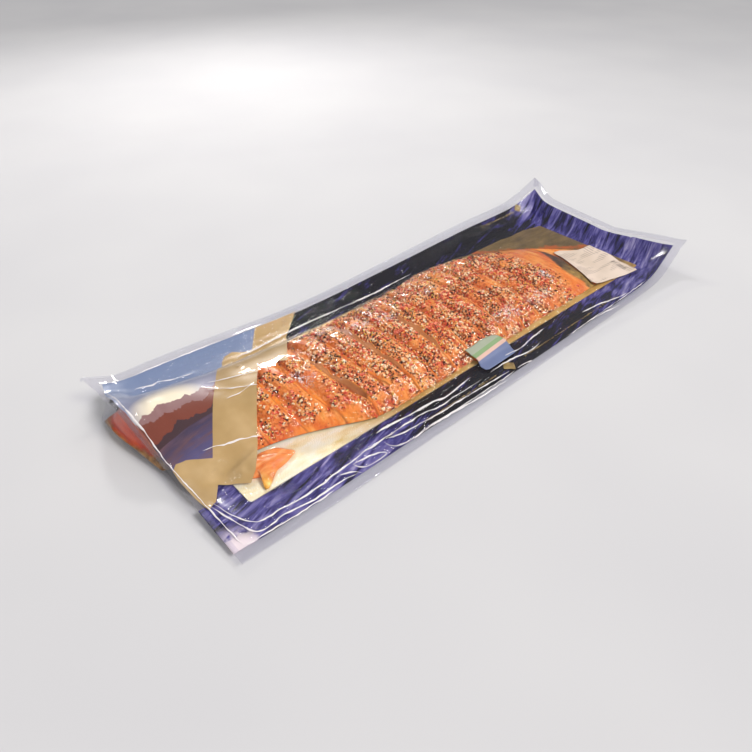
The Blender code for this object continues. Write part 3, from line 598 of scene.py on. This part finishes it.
def copied_form(node, name, levels):
    """A copy of a solid, merged and put back into four-sided faces, then rounded by subdivision."""
    piece = bpy.data.objects.new(name, NODES[node].data.copy())
    bpy.context.collection.objects.link(piece)
    only(piece)
    bpy.ops.object.mode_set(mode="EDIT")
    bpy.ops.mesh.select_all(action="SELECT")
    bpy.ops.mesh.remove_doubles(threshold=0.00002)
    bpy.ops.mesh.tris_convert_to_quads(face_threshold=math.pi, shape_threshold=math.pi)
    bpy.ops.object.mode_set(mode="OBJECT")
    if levels:
        apply_modifier(piece, "SUBSURF", levels=levels, render_levels=levels)
    return piece


def cut_place(xs, ys):
    """Place along the fish in which every cut is straight, worked out from where a point lies."""
    place = xs + CUT_SLANT * ys
    bend = CUT_CURVE * plateau(place, -0.28, -0.24, -0.15, -0.02) * ramp(-ys / 0.075, 0.30, 0.90)
    return place - bend


def nearest_cut(place):
    index = np.clip(np.round((place - FIRST_CUT) / CUT_PITCH), 0, len(CUT_MOUTHS) - 1).astype(int)
    return index, place - FIRST_CUT - index * CUT_PITCH


def build_salmon():
    """The seasoned side of fish, its portions parted by cuts, some of which gape."""
    fish = copied_form("salmon", "seasoned_salmon", 3)
    spots = corners(fish)
    normals = corner_normals(fish)
    xs, ys = spots[:, 0] - MID_X, spots[:, 1] - MID_Y
    upward = ramp(normals[:, 2], 0.05, 0.45)
    along_cut = np.column_stack([ys, xs * 0.2, xs * 0.0])
    wander = 0.0007 * rough(along_cut, 60.0, 2)
    index, away = nearest_cut(cut_place(xs, ys) + wander)
    uneven = ramp(rough(np.column_stack([ys, index * 0.37, index * 0.0]), 75.0, 3, 4.0), -0.7, 0.6)
    width = 0.0016 + 0.0026 * uneven
    gape, brown = np.zeros(len(xs)), np.full(len(xs), 0.3)
    for cut, middle, half_length, open_width, smoothness in GAPES:
        share = np.clip(1.0 - ((ys - middle) / half_length) ** 2, 0.0, 1.0)
        lens = open_width * (0.80 + 0.35 * uneven) * np.sqrt(share)
        here = (index == cut) & (lens > 0.0015)
        width = np.where(here, np.maximum(width, lens), width)
        gape = np.where(here, np.maximum(gape, ramp(lens, 0.0022, 0.0045)), gape)
        brown = np.where(here, smoothness, brown)
    face = plateau(away, -0.0006, 0.0004, width - 0.0006, width + 0.0005)
    in_cut = np.maximum(face, 1.0 - ramp(np.abs(away), 0.0008, 0.0017))
    # Painted shade in the bottom of each cut, stronger where the cut is uneven.
    depth = (1.0 - ramp(np.abs(away), 0.0004, 0.0013)) * (0.30 + 0.55 * uneven)
    rim = plateau(away, width - 0.0014, width - 0.0002, width + 0.0005, width + 0.0014) * (0.35 + 0.65 * gape)
    rim = np.maximum(rim, plateau(away, -0.0030, -0.0022, -0.0012, -0.0006) * gape)
    whole = plateau(xs, -0.28, -0.262, 0.150, 0.165)
    ends = np.where((index == 0) | (index == len(CUT_MOUTHS) - 1), whole, 1.0)
    in_cut, depth, rim, face = in_cut * ends, depth * ends, rim * ends, face * ends
    raised = np.flatnonzero((gape * face * upward > 0.02) & (np.abs(ys) < 0.075))
    tree = tree_of(fish)
    left = drop_on(tree, spots[raised, 0] - away[raised] - 0.0050, spots[raised, 1])
    right = drop_on(tree, spots[raised, 0] - away[raised] + width[raised] + 0.0030, spots[raised, 1])
    share = np.clip(away[raised] / width[raised], 0.0, 1.0)
    level = left + (right - left) * share - 0.0015 * (1.0 - share) - 0.0004
    lift = np.where(np.isnan(level), 0.0, level - spots[raised, 2])
    spots[raised, 2] += lift * (gape * face * upward)[raised]
    # How much of the brown painted shade each gaping face gets.
    gape = face * gape * brown
    lumps = rough(spots, 130.0, 3) * 0.0010 + rough(spots, 420.0, 2, 5.0) * 0.0004
    crust = (1.0 - in_cut) * ramp(normals[:, 2], 0.10, 0.42)
    sparse_far = ramp(xs + 0.10 * ys, 0.140, 0.185)
    thick_end = 0.42 * (1.0 - ramp(xs, -0.21, -0.13))
    bald = rough(spots, 55.0, 3, 9.0) - thick_end
    patchy = ramp(bald, -0.55, -0.25)
    front_wall = ramp(-ys - 0.25 * (xs + 0.24), 0.035, 0.045) * plateau(xs, -0.30, -0.26, -0.18, -0.14)
    crust *= (1.0 - 0.88 * sparse_far) * (0.30 + 0.70 * patchy) * (1.0 - 0.95 * front_wall)
    crust *= 1.0 - ramp(xs, 0.196, 0.206)
    crust *= ramp(xs - 0.10 * np.abs(ys - 0.05), -0.336, -0.322)
    spots += normals * (lumps * (0.10 + 0.90 * crust) * upward)[:, None]
    foot = ramp(-normals[:, 0], 0.1, 0.5) * (1.0 - ramp(spots[:, 2], 0.0095, 0.0125)) * (1.0 - ramp(xs, -0.334, -0.326))
    spots[:, 0] -= 0.0040 * foot * plateau(ys, -0.060, -0.030, 0.085, 0.105)
    move_corners(fish, spots)
    arc = np.array(SKIN_ARC)
    begins, ends = np.interp(ys, arc[:, 0], arc[:, 1]), np.interp(ys, arc[:, 0], arc[:, 2])
    soft_edge = 0.0016 * rough(spots, 160.0, 2, 3.0)
    far_skin = plateau(xs + soft_edge, begins - 0.0012, begins + 0.0012, ends - 0.0012, ends + 0.0012)
    far_skin *= np.where(ys < 0.034, 1.0, 0.0) * ramp(normals[:, 2], -0.2, 0.0)
    near_skin = (1.0 - ramp(spots[:, 2] + 0.5 * soft_edge, 0.0095, 0.0120)) * (1.0 - ramp(xs, -0.325, -0.312))
    under = 1.0 - ramp(normals[:, 2], -0.75, -0.45)
    mark(fish, "crust", crust)
    mark(fish, "gape", np.clip(gape, 0.0, 1.0))
    mark(fish, "depth", depth)
    mark(fish, "rim", rim * ramp(normals[:, 2], 0.1, 0.4))
    mark(fish, "skin", np.clip(far_skin + near_skin + under, 0.0, 1.0))
    smooth(fish)
    finish_piece(fish, salmon_finish(), "salmon")
    return fish, crust


def build_belly_piece():
    """The loose belly piece, drawn out at its front into the stub of its fin."""
    piece = copied_form("belly_piece", "belly_and_fin", 3)
    spots = corners(piece)
    xs, ys = spots[:, 0] - MID_X, spots[:, 1] - MID_Y
    top = ramp(spots[:, 2], BOARD_TOP + 0.001, BOARD_TOP + 0.004)
    tail = ramp(-ys, 0.0600, 0.0680) * plateau(xs + 0.8 * (ys + 0.068), -0.2740, -0.2695, -0.2680, -0.2625)
    spots[:, 0] -= 0.013 * tail
    spots[:, 1] -= 0.013 * tail
    point = ramp(xs, -0.250, -0.240)
    spots[:, 1] -= 0.006 * point * ramp(ys, -0.066, -0.050)
    spots[:, 0] += 0.002 * point
    spots[:, 2] -= (spots[:, 2] - BOARD_TOP - 0.001) * 0.30 * tail
    spots[:, 2] += rough(spots, 90.0, 3) * 0.0006 * top
    fold = ys + 0.0545 + 0.55 * (xs + 0.2550)
    spots[:, 2] += (0.0012 * np.exp(-((fold - 0.0030) / 0.0028) ** 2) - 0.0014 * np.exp(-(fold / 0.0018) ** 2)) * top
    move_corners(piece, spots)
    mark(piece, "fin", np.clip(tail * 1.2 - 0.1, 0.0, 1.0))
    smooth(piece)
    finish_piece(piece, belly_finish(), "belly_piece")
    return piece


# ---------------------------------------------------------------- seasoning


def crumb_seed(kind):
    """One crumb of a kind at unit size, modelled once: its corners and faces."""
    bpy.ops.object.select_all(action="DESELECT")
    if kind == "flake":
        bpy.ops.mesh.primitive_cube_add(size=1.0)
    elif kind == "grain":
        bpy.ops.mesh.primitive_ico_sphere_add(subdivisions=1, radius=0.5)
    else:
        bpy.ops.mesh.primitive_cylinder_add(vertices=5, radius=0.5, depth=1.0)
    crumb = bpy.context.object
    bpy.ops.object.mode_set(mode="EDIT")
    bpy.ops.mesh.select_all(action="SELECT")
    bpy.ops.transform.vertex_random(offset=0.16, seed=3)
    bpy.ops.object.mode_set(mode="OBJECT")
    spots = corners(crumb)
    faces = [tuple(face.vertices) for face in crumb.data.polygons]
    bpy.data.objects.remove(crumb, do_unlink=True)
    return spots, faces


def scatter(fish, crust, name, kind, count, size, flatness, seed, stops, roughness, lift):
    """Many crumbs of one kind, pressed into the crust and joined into one piece."""
    rng = random.Random(seed)
    spots, normals = corners(fish), corner_normals(fish)
    fish.data.calc_loop_triangles()
    triangles = np.empty(len(fish.data.loop_triangles) * 3, dtype=np.int32)
    fish.data.loop_triangles.foreach_get("vertices", triangles)
    triangles = triangles.reshape(-1, 3)
    a, b, c = (spots[triangles[:, k]] for k in range(3))
    area = 0.5 * np.linalg.norm(np.cross(b - a, c - a), axis=1)
    clumps = 0.25 + 0.75 * ramp(rough(spots, 48.0, 3, seed * 0.31), -0.45, 0.45)
    weight = area * ramp((crust * clumps)[triangles].mean(axis=1), 0.10, 0.90)
    edges = np.cumsum(weight)
    seed_spots, seed_faces = crumb_seed(kind)
    made, faces, tops = [], [], []
    for number in range(count):
        pick = int(np.searchsorted(edges, rng.random() * edges[-1]))
        s, t = rng.random(), rng.random()
        if s + t > 1.0:
            s, t = 1.0 - s, 1.0 - t
        here = a[pick] + s * (b[pick] - a[pick]) + t * (c[pick] - a[pick])
        out = Vector(normals[triangles[pick][0]])
        tilt = out.to_track_quat("Z", "Y").to_matrix()
        tilt = tilt @ Matrix.Rotation(rng.uniform(0.0, 2.0 * math.pi), 3, "Z")
        tilt = tilt @ Matrix.Rotation(rng.uniform(-0.5, 0.5), 3, "X")
        length = size * rng.uniform(0.65, 1.35)
        scale = np.array([length, length * rng.uniform(0.5, 0.85), length * flatness * rng.uniform(0.7, 1.2)])
        body = (seed_spots * scale) @ np.array(tilt).T
        body += here + np.array(out) * lift * scale[2]
        first = number * len(seed_spots)
        made.append(body)
        faces.extend(tuple(first + corner for corner in face) for face in seed_faces)
        tops.append((body[:, 0].mean(), body[:, 1].mean(), body[:, 2].max()))
    mesh = bpy.data.meshes.new(name)
    mesh.from_pydata(np.vstack(made).tolist(), [], faces)
    piece = bpy.data.objects.new(name, mesh)
    bpy.context.collection.objects.link(piece)
    finish_piece(piece, crumb_finish(name, stops, roughness))
    return tops


def build_seasoning(fish, crust):
    tops = []
    tops += scatter(fish, crust, "pale_onion_bits", "flake", 2700, 0.0021, 0.45, 11,
                    [(0.0, tint(246, 176, 114)), (0.45, tint(253, 214, 162)), (1.0, tint(255, 244, 220))], 0.34, 0.44)
    tops += scatter(fish, crust, "red_pepper_bits", "flake", 2300, 0.0026, 0.40, 23,
                    [(0.0, tint(184, 44, 20)), (0.5, tint(228, 90, 54)), (1.0, tint(246, 148, 116))], 0.28, 0.32)
    tops += scatter(fish, crust, "orange_bits", "grain", 3600, 0.0024, 0.60, 37,
                    [(0.0, tint(232, 120, 44)), (0.5, tint(250, 162, 82)), (1.0, tint(255, 204, 130))], 0.28, 0.28)
    tops += scatter(fish, crust, "cracked_pepper", "grain", 4400, 0.0018, 0.70, 41,
                    [(0.0, tint(10, 4, 3)), (0.6, tint(34, 12, 7)), (1.0, tint(96, 38, 16))], 0.45, 0.58)
    tops += scatter(fish, crust, "mustard_seed", "grain", 1000, 0.0018, 0.90, 53,
                    [(0.0, tint(240, 172, 50)), (0.6, tint(252, 214, 92)), (1.0, tint(255, 236, 156))], 0.26, 0.42)
    return tops


# ---------------------------------------------------------------- films

FILM_COLUMNS, FILM_ROWS = 460, 172
POUCH_NEAR, POUCH_FAR, POUCH_SIDE, SEAL = -0.3385, 0.3460, 0.1310, 0.0110


def front_line(xs):
    return -POUCH_SIDE + 0.013 * ramp(xs, 0.250, POUCH_FAR)


def back_line(xs):
    return POUCH_SIDE - 0.005 * ramp(xs, 0.300, POUCH_FAR)


def near_line(ys):
    return POUCH_NEAR - 0.0045 * plateau(ys, -0.020, 0.055, 0.090, 0.125)


def build_clear_film(below, crumb_tops):
    """The clear film: level on the margins, drawn down on the crust, with creases that catch light."""
    bpy.ops.object.select_all(action="DESELECT")
    bpy.ops.mesh.primitive_grid_add(x_subdivisions=FILM_COLUMNS, y_subdivisions=FILM_ROWS, size=1.0)
    film = bpy.context.object
    film.name = "clear_film"
    flat = corners(film)
    u, v = flat[:, 0] + 0.5, flat[:, 1] + 0.5
    ys = -POUCH_SIDE + v * 2.0 * POUCH_SIDE
    near = near_line(ys)
    xs = near + u * (POUCH_FAR - near)
    front, back = front_line(xs), back_line(xs)
    ys = front + v * (back - front)
    reach = np.clip(1.0 - np.hypot(xs - POUCH_NEAR, ys - POUCH_SIDE) / 0.030, 0.0, 1.0)
    xs = xs - 0.010 * reach ** 2
    inner_x = np.clip(xs, xs.min() + 0.0002, POUCH_FAR - 0.0004)
    inner_y = np.clip(ys, front + 0.0004, back - 0.0004)
    solid = tree_of(NODES["upper_film"])
    heights = drop_on(solid, inner_x + MID_X, inner_y + MID_Y)
    for spot in np.flatnonzero(np.isnan(heights)):
        heights[spot] = solid.find_nearest(Vector((inner_x[spot] + MID_X, inner_y[spot] + MID_Y, 0.02)))[0].z
    columns = np.rint(u * FILM_COLUMNS).astype(int)
    rows = np.rint(v * FILM_ROWS).astype(int)
    table = np.zeros((FILM_COLUMNS + 1, FILM_ROWS + 1))
    table[columns, rows] = heights
    softened = blur(table, 2.2)
    rim = np.minimum.reduce([columns, rows, FILM_COLUMNS - columns, FILM_ROWS - rows])
    keep = np.zeros_like(table)
    keep[columns, rows] = ramp(rim.astype(float), 1.0, 8.0)
    table = table + (softened - table) * keep
    flesh = np.zeros_like(table)
    for tree in below:
        flesh[columns, rows] = np.fmax(flesh[columns, rows], drop_on(tree, xs + MID_X, ys + MID_Y, 0.0))
    over_fish = np.zeros_like(table)
    over_fish[columns, rows] = (flesh[columns, rows] > 0.0) * ramp(xs, -0.322, -0.300)
    over_fish = blur(over_fish, 2.5)
    cell_x = (POUCH_FAR - POUCH_NEAR) / FILM_COLUMNS
    cell_y = 2.0 * POUCH_SIDE / FILM_ROWS
    for x, y, z in crumb_tops:
        i = int(round((x - MID_X - POUCH_NEAR) / cell_x))
        j = int(round((y - MID_Y + POUCH_SIDE) / cell_y))
        flesh[i, j] = max(flesh[i, j], z)
    hugging = blur(highest_near(flesh), 1.1) + 0.0006
    bridging = blur(highest_near(flesh, 4), 5.0) + 0.0008
    stiff = np.zeros_like(table)
    stiff[columns, rows] = 1.0 - ramp(xs - 1.2 * ys, -0.222, -0.200)
    hugging = hugging + (bridging - hugging) * stiff
    table = table + (np.maximum(hugging, 0.0) - table) * ramp(over_fish, 0.35, 0.95)
    heights = table[columns, rows]
    edge = np.minimum.reduce([xs - near + 0.0072, POUCH_FAR - xs, ys - front, back - ys])
    inside = ramp(edge, 0.0080, 0.0115)
    heights = heights + 0.0005 * np.exp(-((edge - SEAL) / 0.0011) ** 2)
    for rise, width, line in CREASES:
        gap = line_distance(xs, ys, line)
        heights = heights + 0.6 * rise * np.exp(-(gap / width) ** 2) * inside
    for x, y, radius, rise in PIPS:
        heights = heights + rise * np.exp(-(np.hypot(xs - x, ys - y) / radius) ** 2 * 2.0) * inside
    spots = np.column_stack([xs, ys, np.zeros(len(xs))])
    bare_margin = (1.0 - ramp(over_fish[columns, rows], 0.1, 0.6)) * ramp(rim.astype(float), 5.0, 12.0)
    ends = np.maximum(ramp(-xs, 0.285, 0.315), ramp(xs, 0.285, 0.315))
    long_ones = np.abs(rough(spots * (0.14, 1.0, 1.0), 105.0, 3, 2.0))
    cross_ones = np.abs(rough(spots * (1.0, 0.30, 1.0), 80.0, 3, 6.0))
    heights = heights + 0.0009 * (long_ones + (cross_ones - long_ones) * ends) * bare_margin
    move_corners(film, np.column_stack([xs + MID_X, ys + MID_Y, heights]))
    # How strongly the film over the crust crinkles, and how many glint flecks are painted on it there.
    glint = np.full(len(xs), 0.30)
    for x, y, reach_x, reach_y in GLINTS:
        glint = np.maximum(glint, 1.3 * np.exp(-((xs - x) / reach_x) ** 2 - ((ys - y) / reach_y) ** 2))
    glint *= 0.6 + 0.4 * rough(spots, 90.0, 3, 8.0)
    mark(film, "crinkle_and_painted_glint", ramp(over_fish, 0.4, 0.9)[columns, rows] * (1.0 - stiff[columns, rows]) * np.clip(glint, 0.1, 1.0))
    mark(film, "loose", bare_margin * (1.0 - 0.7 * ends))
    film.data.materials.append(clear_finish("clear film", (0.985, 0.985, 0.99, 1.0), 0.045, 0.008, "crinkle_and_painted_glint", 0.40))
    film.data.materials.append(clear_finish("welded seal", (0.88, 0.88, 0.93, 1.0), 0.06, 0.06))
    for face in film.data.polygons:
        face.material_index = 1 if max(edge[corner] for corner in face.vertices) < SEAL + 0.0008 else 0
    smooth(film)
    finish_piece(film, None, "upper_film")
    return film


def rounded_line(line, step):
    """A line of points with its corners rounded off, then evenly spaced."""
    line = np.array(line)
    for turn in range(3):
        first, second = line[:-1], line[1:]
        inner = np.empty((2 * len(first), 2))
        inner[0::2], inner[1::2] = 0.75 * first + 0.25 * second, 0.25 * first + 0.75 * second
        line = np.vstack([line[:1], inner, line[-1:]])
    lengths = np.concatenate([[0.0], np.cumsum(np.linalg.norm(np.diff(line, axis=0), axis=1))])
    wanted = np.linspace(0.0, lengths[-1], max(4, int(lengths[-1] / step)))
    return np.column_stack([np.interp(wanted, lengths, line[:, k]) for k in (0, 1)])


def build_folds(film_tree):
    """The sharp folds of the clear film: thin raised ridges, painted white along their length as their highlights."""
    folds = []
    for number, (rise, width, line) in enumerate(CREASES + SEAL_LINES):
        path = rounded_line(line, 0.0015)
        count = len(path)
        bpy.ops.object.select_all(action="DESELECT")
        bpy.ops.mesh.primitive_grid_add(x_subdivisions=count - 1, y_subdivisions=4, size=1.0)
        fold = bpy.context.object
        flat = corners(fold)
        place = np.rint((flat[:, 0] + 0.5) * (count - 1)).astype(int)
        across = flat[:, 1] * 2.0
        along = np.gradient(path, axis=0)
        along /= np.linalg.norm(along, axis=1)[:, None]
        share = np.arange(count) / (count - 1.0)
        swell = rough(np.column_stack([path * 1.0, np.full(count, number * 0.1)]), 70.0, 3)
        half = width * FOLD_SHARE * (0.30 + 0.70 * ramp(swell, -0.55, 0.55)) * ramp(np.minimum(share, 1.0 - share), -0.02, 0.10)
        wave = 0.0008 * rough(np.column_stack([path * 1.0, np.full(count, number * 0.2)]), 110.0, 2, 7.0)
        side = np.column_stack([-along[:, 1], along[:, 0]])
        centre = path + side * wave[:, None]
        spots = np.zeros((len(flat), 3))
        spots[:, :2] = centre[place] + side[place] * (across * half[place])[:, None] + (MID_X, MID_Y)
        heights = drop_on(film_tree, spots[:, 0], spots[:, 1])
        heights = np.where(np.isnan(heights), np.nanmean(heights), heights)
        spots[:, 2] = heights + 0.00012 + 0.8 * half[place] * (1.0 - across ** 2)
        move_corners(fold, spots)
        if fold.data.polygons[0].normal.z < 0.0:
            fold.data.flip_normals()
        folds.append(fold)
    only(folds[0])
    for fold in folds:
        fold.select_set(True)
    bpy.ops.object.join()
    folds[0].name = "film_folds"
    smooth(folds[0])
    # A mostly white diffuse veil over the ridges paints their highlights.
    finish_piece(folds[0], clear_finish("folds painted white as highlight", (0.97, 0.97, 0.98, 1.0), 0.10, 0.80))


def build_printed_film():
    """The printed film: its seal strip and the wall behind the fish's thick end are left clear."""
    film = copied_form("lower_film", "printed_film_sheet", 0)
    printed, clear = printed_finish(), clear_finish("clear seal strip", (0.96, 0.96, 0.97, 1.0), 0.06, 0.004, None, 0.16, 0.014)
    film.data.materials.clear()
    film.data.materials.append(printed)
    film.data.materials.append(clear)
    for face in film.data.polygons:
        x, y, z = face.center[0] - MID_X, face.center[1] - MID_Y, face.center[2]
        edge = min(x - float(near_line(y)) + 0.0075, POUCH_FAR - x, y - float(front_line(x)), float(back_line(x)) - y)
        wall = x < -0.3285 and -0.070 < y < 0.125
        face.material_index = 1 if edge < SEAL - 0.001 or wall else 0
    only(film)
    bpy.ops.object.mode_set(mode="EDIT")
    bpy.ops.mesh.select_all(action="DESELECT")
    bpy.ops.object.mode_set(mode="OBJECT")
    creases = film.data.attributes.new("crease_edge", "FLOAT", "EDGE")
    spots = corners(film)
    bm_edges = {}
    for face in film.data.polygons:
        for key in face.edge_keys:
            bm_edges.setdefault(key, []).append(face.normal.copy())
    sharp = []
    for edge in film.data.edges:
        normals = bm_edges.get(tuple(sorted(edge.vertices)), [])
        sharp.append(1.0 if len(normals) == 2 and normals[0].dot(normals[1]) < 0.35 else 0.0)
    creases.data.foreach_set("value", sharp)
    apply_modifier(film, "SUBSURF", levels=2, render_levels=2)
    spots = corners(film)
    xs, ys = spots[:, 0] - MID_X, spots[:, 1] - MID_Y
    lively = 1.0 - 0.95 * plateau(xs, -0.17, -0.11, 0.10, 0.22)
    lively *= np.where(ys > 0.0, 0.05 + 0.95 * ramp(xs, 0.26, 0.31), 1.0)
    mark(film, "lively", lively)
    # Where the white patches of painted highlight lie at the near front corner.
    mark(film, "corner", 1.0 - ramp(np.hypot(xs - POUCH_NEAR - 0.004, ys + POUCH_SIDE - 0.004), 0.014, 0.036))
    smooth(film, 50.0)
    finish_piece(film, None, "lower_film")
    return film


# ---------------------------------------------------------------- prints and labels


def cut_from_sheet(name, outline, cell):
    """A flat shape with this outline, cut into small cells so that it can follow the film."""
    bpy.ops.object.select_all(action="DESELECT")
    bpy.ops.mesh.primitive_circle_add(vertices=len(outline), fill_type="NGON")
    piece = bpy.context.object
    piece.name = name
    move_corners(piece, np.array([(x + MID_X, y + MID_Y, 0.0) for x, y in outline]))
    xs, ys = [x + MID_X for x, y in outline], [y + MID_Y for x, y in outline]
    only(piece)
    bpy.ops.object.mode_set(mode="EDIT")
    for low, high, normal in ((min(xs), max(xs), (1.0, 0.0, 0.0)), (min(ys), max(ys), (0.0, 1.0, 0.0))):
        for step in range(1, int((high - low) / cell) + 1):
            place = low + step * cell
            bpy.ops.mesh.select_all(action="SELECT")
            bpy.ops.mesh.bisect(plane_co=(place, place, 0.0), plane_no=normal)
    bpy.ops.mesh.select_all(action="SELECT")
    bpy.ops.mesh.normals_make_consistent(inside=False)
    bpy.ops.object.mode_set(mode="OBJECT")
    if piece.data.polygons[0].normal.z < 0.0:
        piece.data.flip_normals()
    return piece


def lay_on(piece, tree, offset, soften=0):
    """Let a cut sheet follow the film, a little above or below it, bridging its small hollows."""
    spots = corners(piece)
    heights = drop_on(tree, spots[:, 0], spots[:, 1])
    if soften:
        for dx, dy in ((0.002, 0.0), (-0.002, 0.0), (0.0, 0.002), (0.0, -0.002)):
            heights = np.fmax(heights, drop_on(tree, spots[:, 0] + dx, spots[:, 1] + dy))
        ends = np.array([edge.vertices for edge in piece.data.edges])
        for turn in range(soften):
            total, count = heights.copy(), np.ones(len(heights))
            for a, b in ((0, 1), (1, 0)):
                np.add.at(total, ends[:, a], heights[ends[:, b]])
                np.add.at(count, ends[:, a], 1.0)
            heights = total / count
    spots[:, 2] = heights + offset
    move_corners(piece, spots)
    smooth(piece)


def build_gold_marks(film_tree):
    """Two small gold lozenges and rows of plain gold dashes on the dark margins."""
    marks = []
    for x, y, half_x, half_y in ((0.0040, -0.1090, 0.0080, 0.0090), (0.2960, 0.1135, 0.0070, 0.0050)):
        outline = ((x - half_x, y), (x, y - half_y), (x + half_x, y), (x, y + half_y))
        marks.append(cut_from_sheet("gold_lozenge", outline, 0.0018))
    rng = random.Random(7)
    for first, last, side in ((-0.120, -0.020, -0.1105), (0.030, 0.205, -0.1095), (0.215, 0.285, 0.1120)):
        place = first
        while place < last:
            length = rng.uniform(0.0008, 0.0020)
            low, high = side - rng.uniform(0.0002, 0.0010), side + rng.uniform(0.0004, 0.0012)
            outline = ((place, low), (place + length, low), (place + length, high), (place, high))
            marks.append(cut_from_sheet("gold_dash", outline, 0.0030))
            place += length + rng.choice((0.0008, 0.0010, 0.0012, 0.0028))
    for piece in marks:
        lay_on(piece, film_tree, -0.00030)
    only(marks[0])
    for piece in marks:
        piece.select_set(True)
    bpy.ops.object.join()
    marks[0].name = "gold_marks"
    m = Finish("gold ink")
    m.set(Base_Color=m.steps(m.clouds(60.0, 3.0), [(0.35, tint(120, 98, 56)), (0.65, tint(186, 158, 96))]),
          Roughness=0.4)
    finish_piece(marks[0], m.material)


def build_prints(film_tree):
    band = cut_from_sheet("printed_band", BAND_OUTLINE, 0.0018)
    lay_on(band, film_tree, -0.00025)
    finish_piece(band, band_finish())
    picture = cut_from_sheet("printed_picture", PICTURE_OUTLINE, 0.0018)
    lay_on(picture, film_tree, -0.00025)
    finish_piece(picture, picture_finish())
    label = cut_from_sheet("price_label_sheet", LABEL_OUTLINE, 0.0025)
    lay_on(label, film_tree, 0.0005, 5)
    apply_modifier(label, "SOLIDIFY", thickness=0.0002, offset=1.0)
    finish_piece(label, label_finish(), "price_label")
    sticker = cut_from_sheet("side_sticker_sheet", STICKER_OUTLINE, 0.0025)
    lay_on(sticker, film_tree, 0.0004, 3)
    apply_modifier(sticker, "SOLIDIFY", thickness=0.00015, offset=1.0)
    finish_piece(sticker, sticker_finish(), "side_sticker")


# ---------------------------------------------------------------- studio


def build_studio():
    bpy.ops.object.select_all(action="DESELECT")
    bpy.ops.mesh.primitive_plane_add(size=14.0, location=(0.0, 0.0, -0.0005))
    floor = bpy.context.object
    floor.name = "studio_floor"
    m = Finish("pale floor")
    m.set(Base_Color=m.steps(m.clouds(3.0, 2.0), [(0.3, tint(206, 206, 210)), (0.7, tint(212, 212, 215))]),
          Roughness=0.85)
    floor.data.materials.append(m.material)

    world = bpy.data.worlds.new("studio")
    bpy.context.scene.world = world
    world.use_nodes = True
    world.node_tree.nodes["Background"].inputs["Color"].default_value = (0.84, 0.85, 0.88, 1.0)
    world.node_tree.nodes["Background"].inputs["Strength"].default_value = 0.24

    soft = bpy.data.lights.new("soft_daylight", "SUN")
    soft.energy = 2.4
    soft.angle = math.radians(20.0)
    soft.color = (1.0, 0.97, 0.93)
    holder = bpy.data.objects.new("soft_daylight", soft)
    holder.rotation_euler = Vector((0.30, -0.62, 0.74)).to_track_quat("Z", "Y").to_euler()
    holder.visible_glossy = False
    bpy.context.collection.objects.link(holder)

    for name, place, target, size, power in (
            ("long_strip", (0.82, -0.58, 1.25), (0.0, -0.05, 0.0), (1.10, 0.045), 5.0),
            ("cross_strip", (-0.77, 0.92, 1.20), (-0.30, 0.0, 0.0), (0.030, 0.80), 1.8),
            ("glint_window", (0.54, 1.33, 0.90), (0.0, 0.0, 0.0), (0.20, 0.15), 9.0),
            ("fill", (-1.3, -1.3, 1.1), (0.0, 0.0, 0.0), (1.4, 1.0), 10.0)):
        lamp = bpy.data.lights.new(name, "AREA")
        lamp.shape = "RECTANGLE"
        lamp.size, lamp.size_y = size
        lamp.energy = power
        lamp.color = (1.0, 0.97, 0.93)
        holder = bpy.data.objects.new(name, lamp)
        holder.location = place
        aim = (Vector(place) - Vector(target)).normalized()
        right = (Vector((1.0, 0.0, 0.0)) - aim * aim.x).normalized()
        holder.rotation_euler = Matrix((right, aim.cross(right), aim)).transposed().to_euler()
        holder.visible_glossy = name != "fill"
        bpy.context.collection.objects.link(holder)


def build_camera():
    camera = bpy.data.cameras.new("camera")
    camera.sensor_width = 36.0
    camera.lens = 31.007
    camera.clip_start = 0.01
    holder = bpy.data.objects.new("camera", camera)
    turn, rise, reach = math.radians(-41.89), math.radians(38.63), 0.6708
    back = Vector((math.sin(turn) * math.cos(rise), -math.cos(turn) * math.cos(rise), math.sin(rise)))
    holder.location = Vector((-0.1087 + MID_X, -0.0259 + MID_Y, 0.0)) + back * reach
    holder.rotation_euler = back.to_track_quat("Z", "Y").to_euler()
    bpy.context.collection.objects.link(holder)
    bpy.context.scene.camera = holder


def main():
    board = NODES["gold_board"]
    board.data.materials.clear()
    board.data.materials.append(board_finish())
    fish, crust = build_salmon()
    belly = build_belly_piece()
    tops = build_seasoning(fish, crust)
    build_printed_film()
    film = build_clear_film([tree_of(fish), tree_of(belly)], tops)
    build_prints(tree_of(film))
    build_gold_marks(tree_of(film))
    build_folds(tree_of(film))
    build_studio()
    build_camera()
    bpy.context.scene.view_settings.view_transform = "Standard"


main()
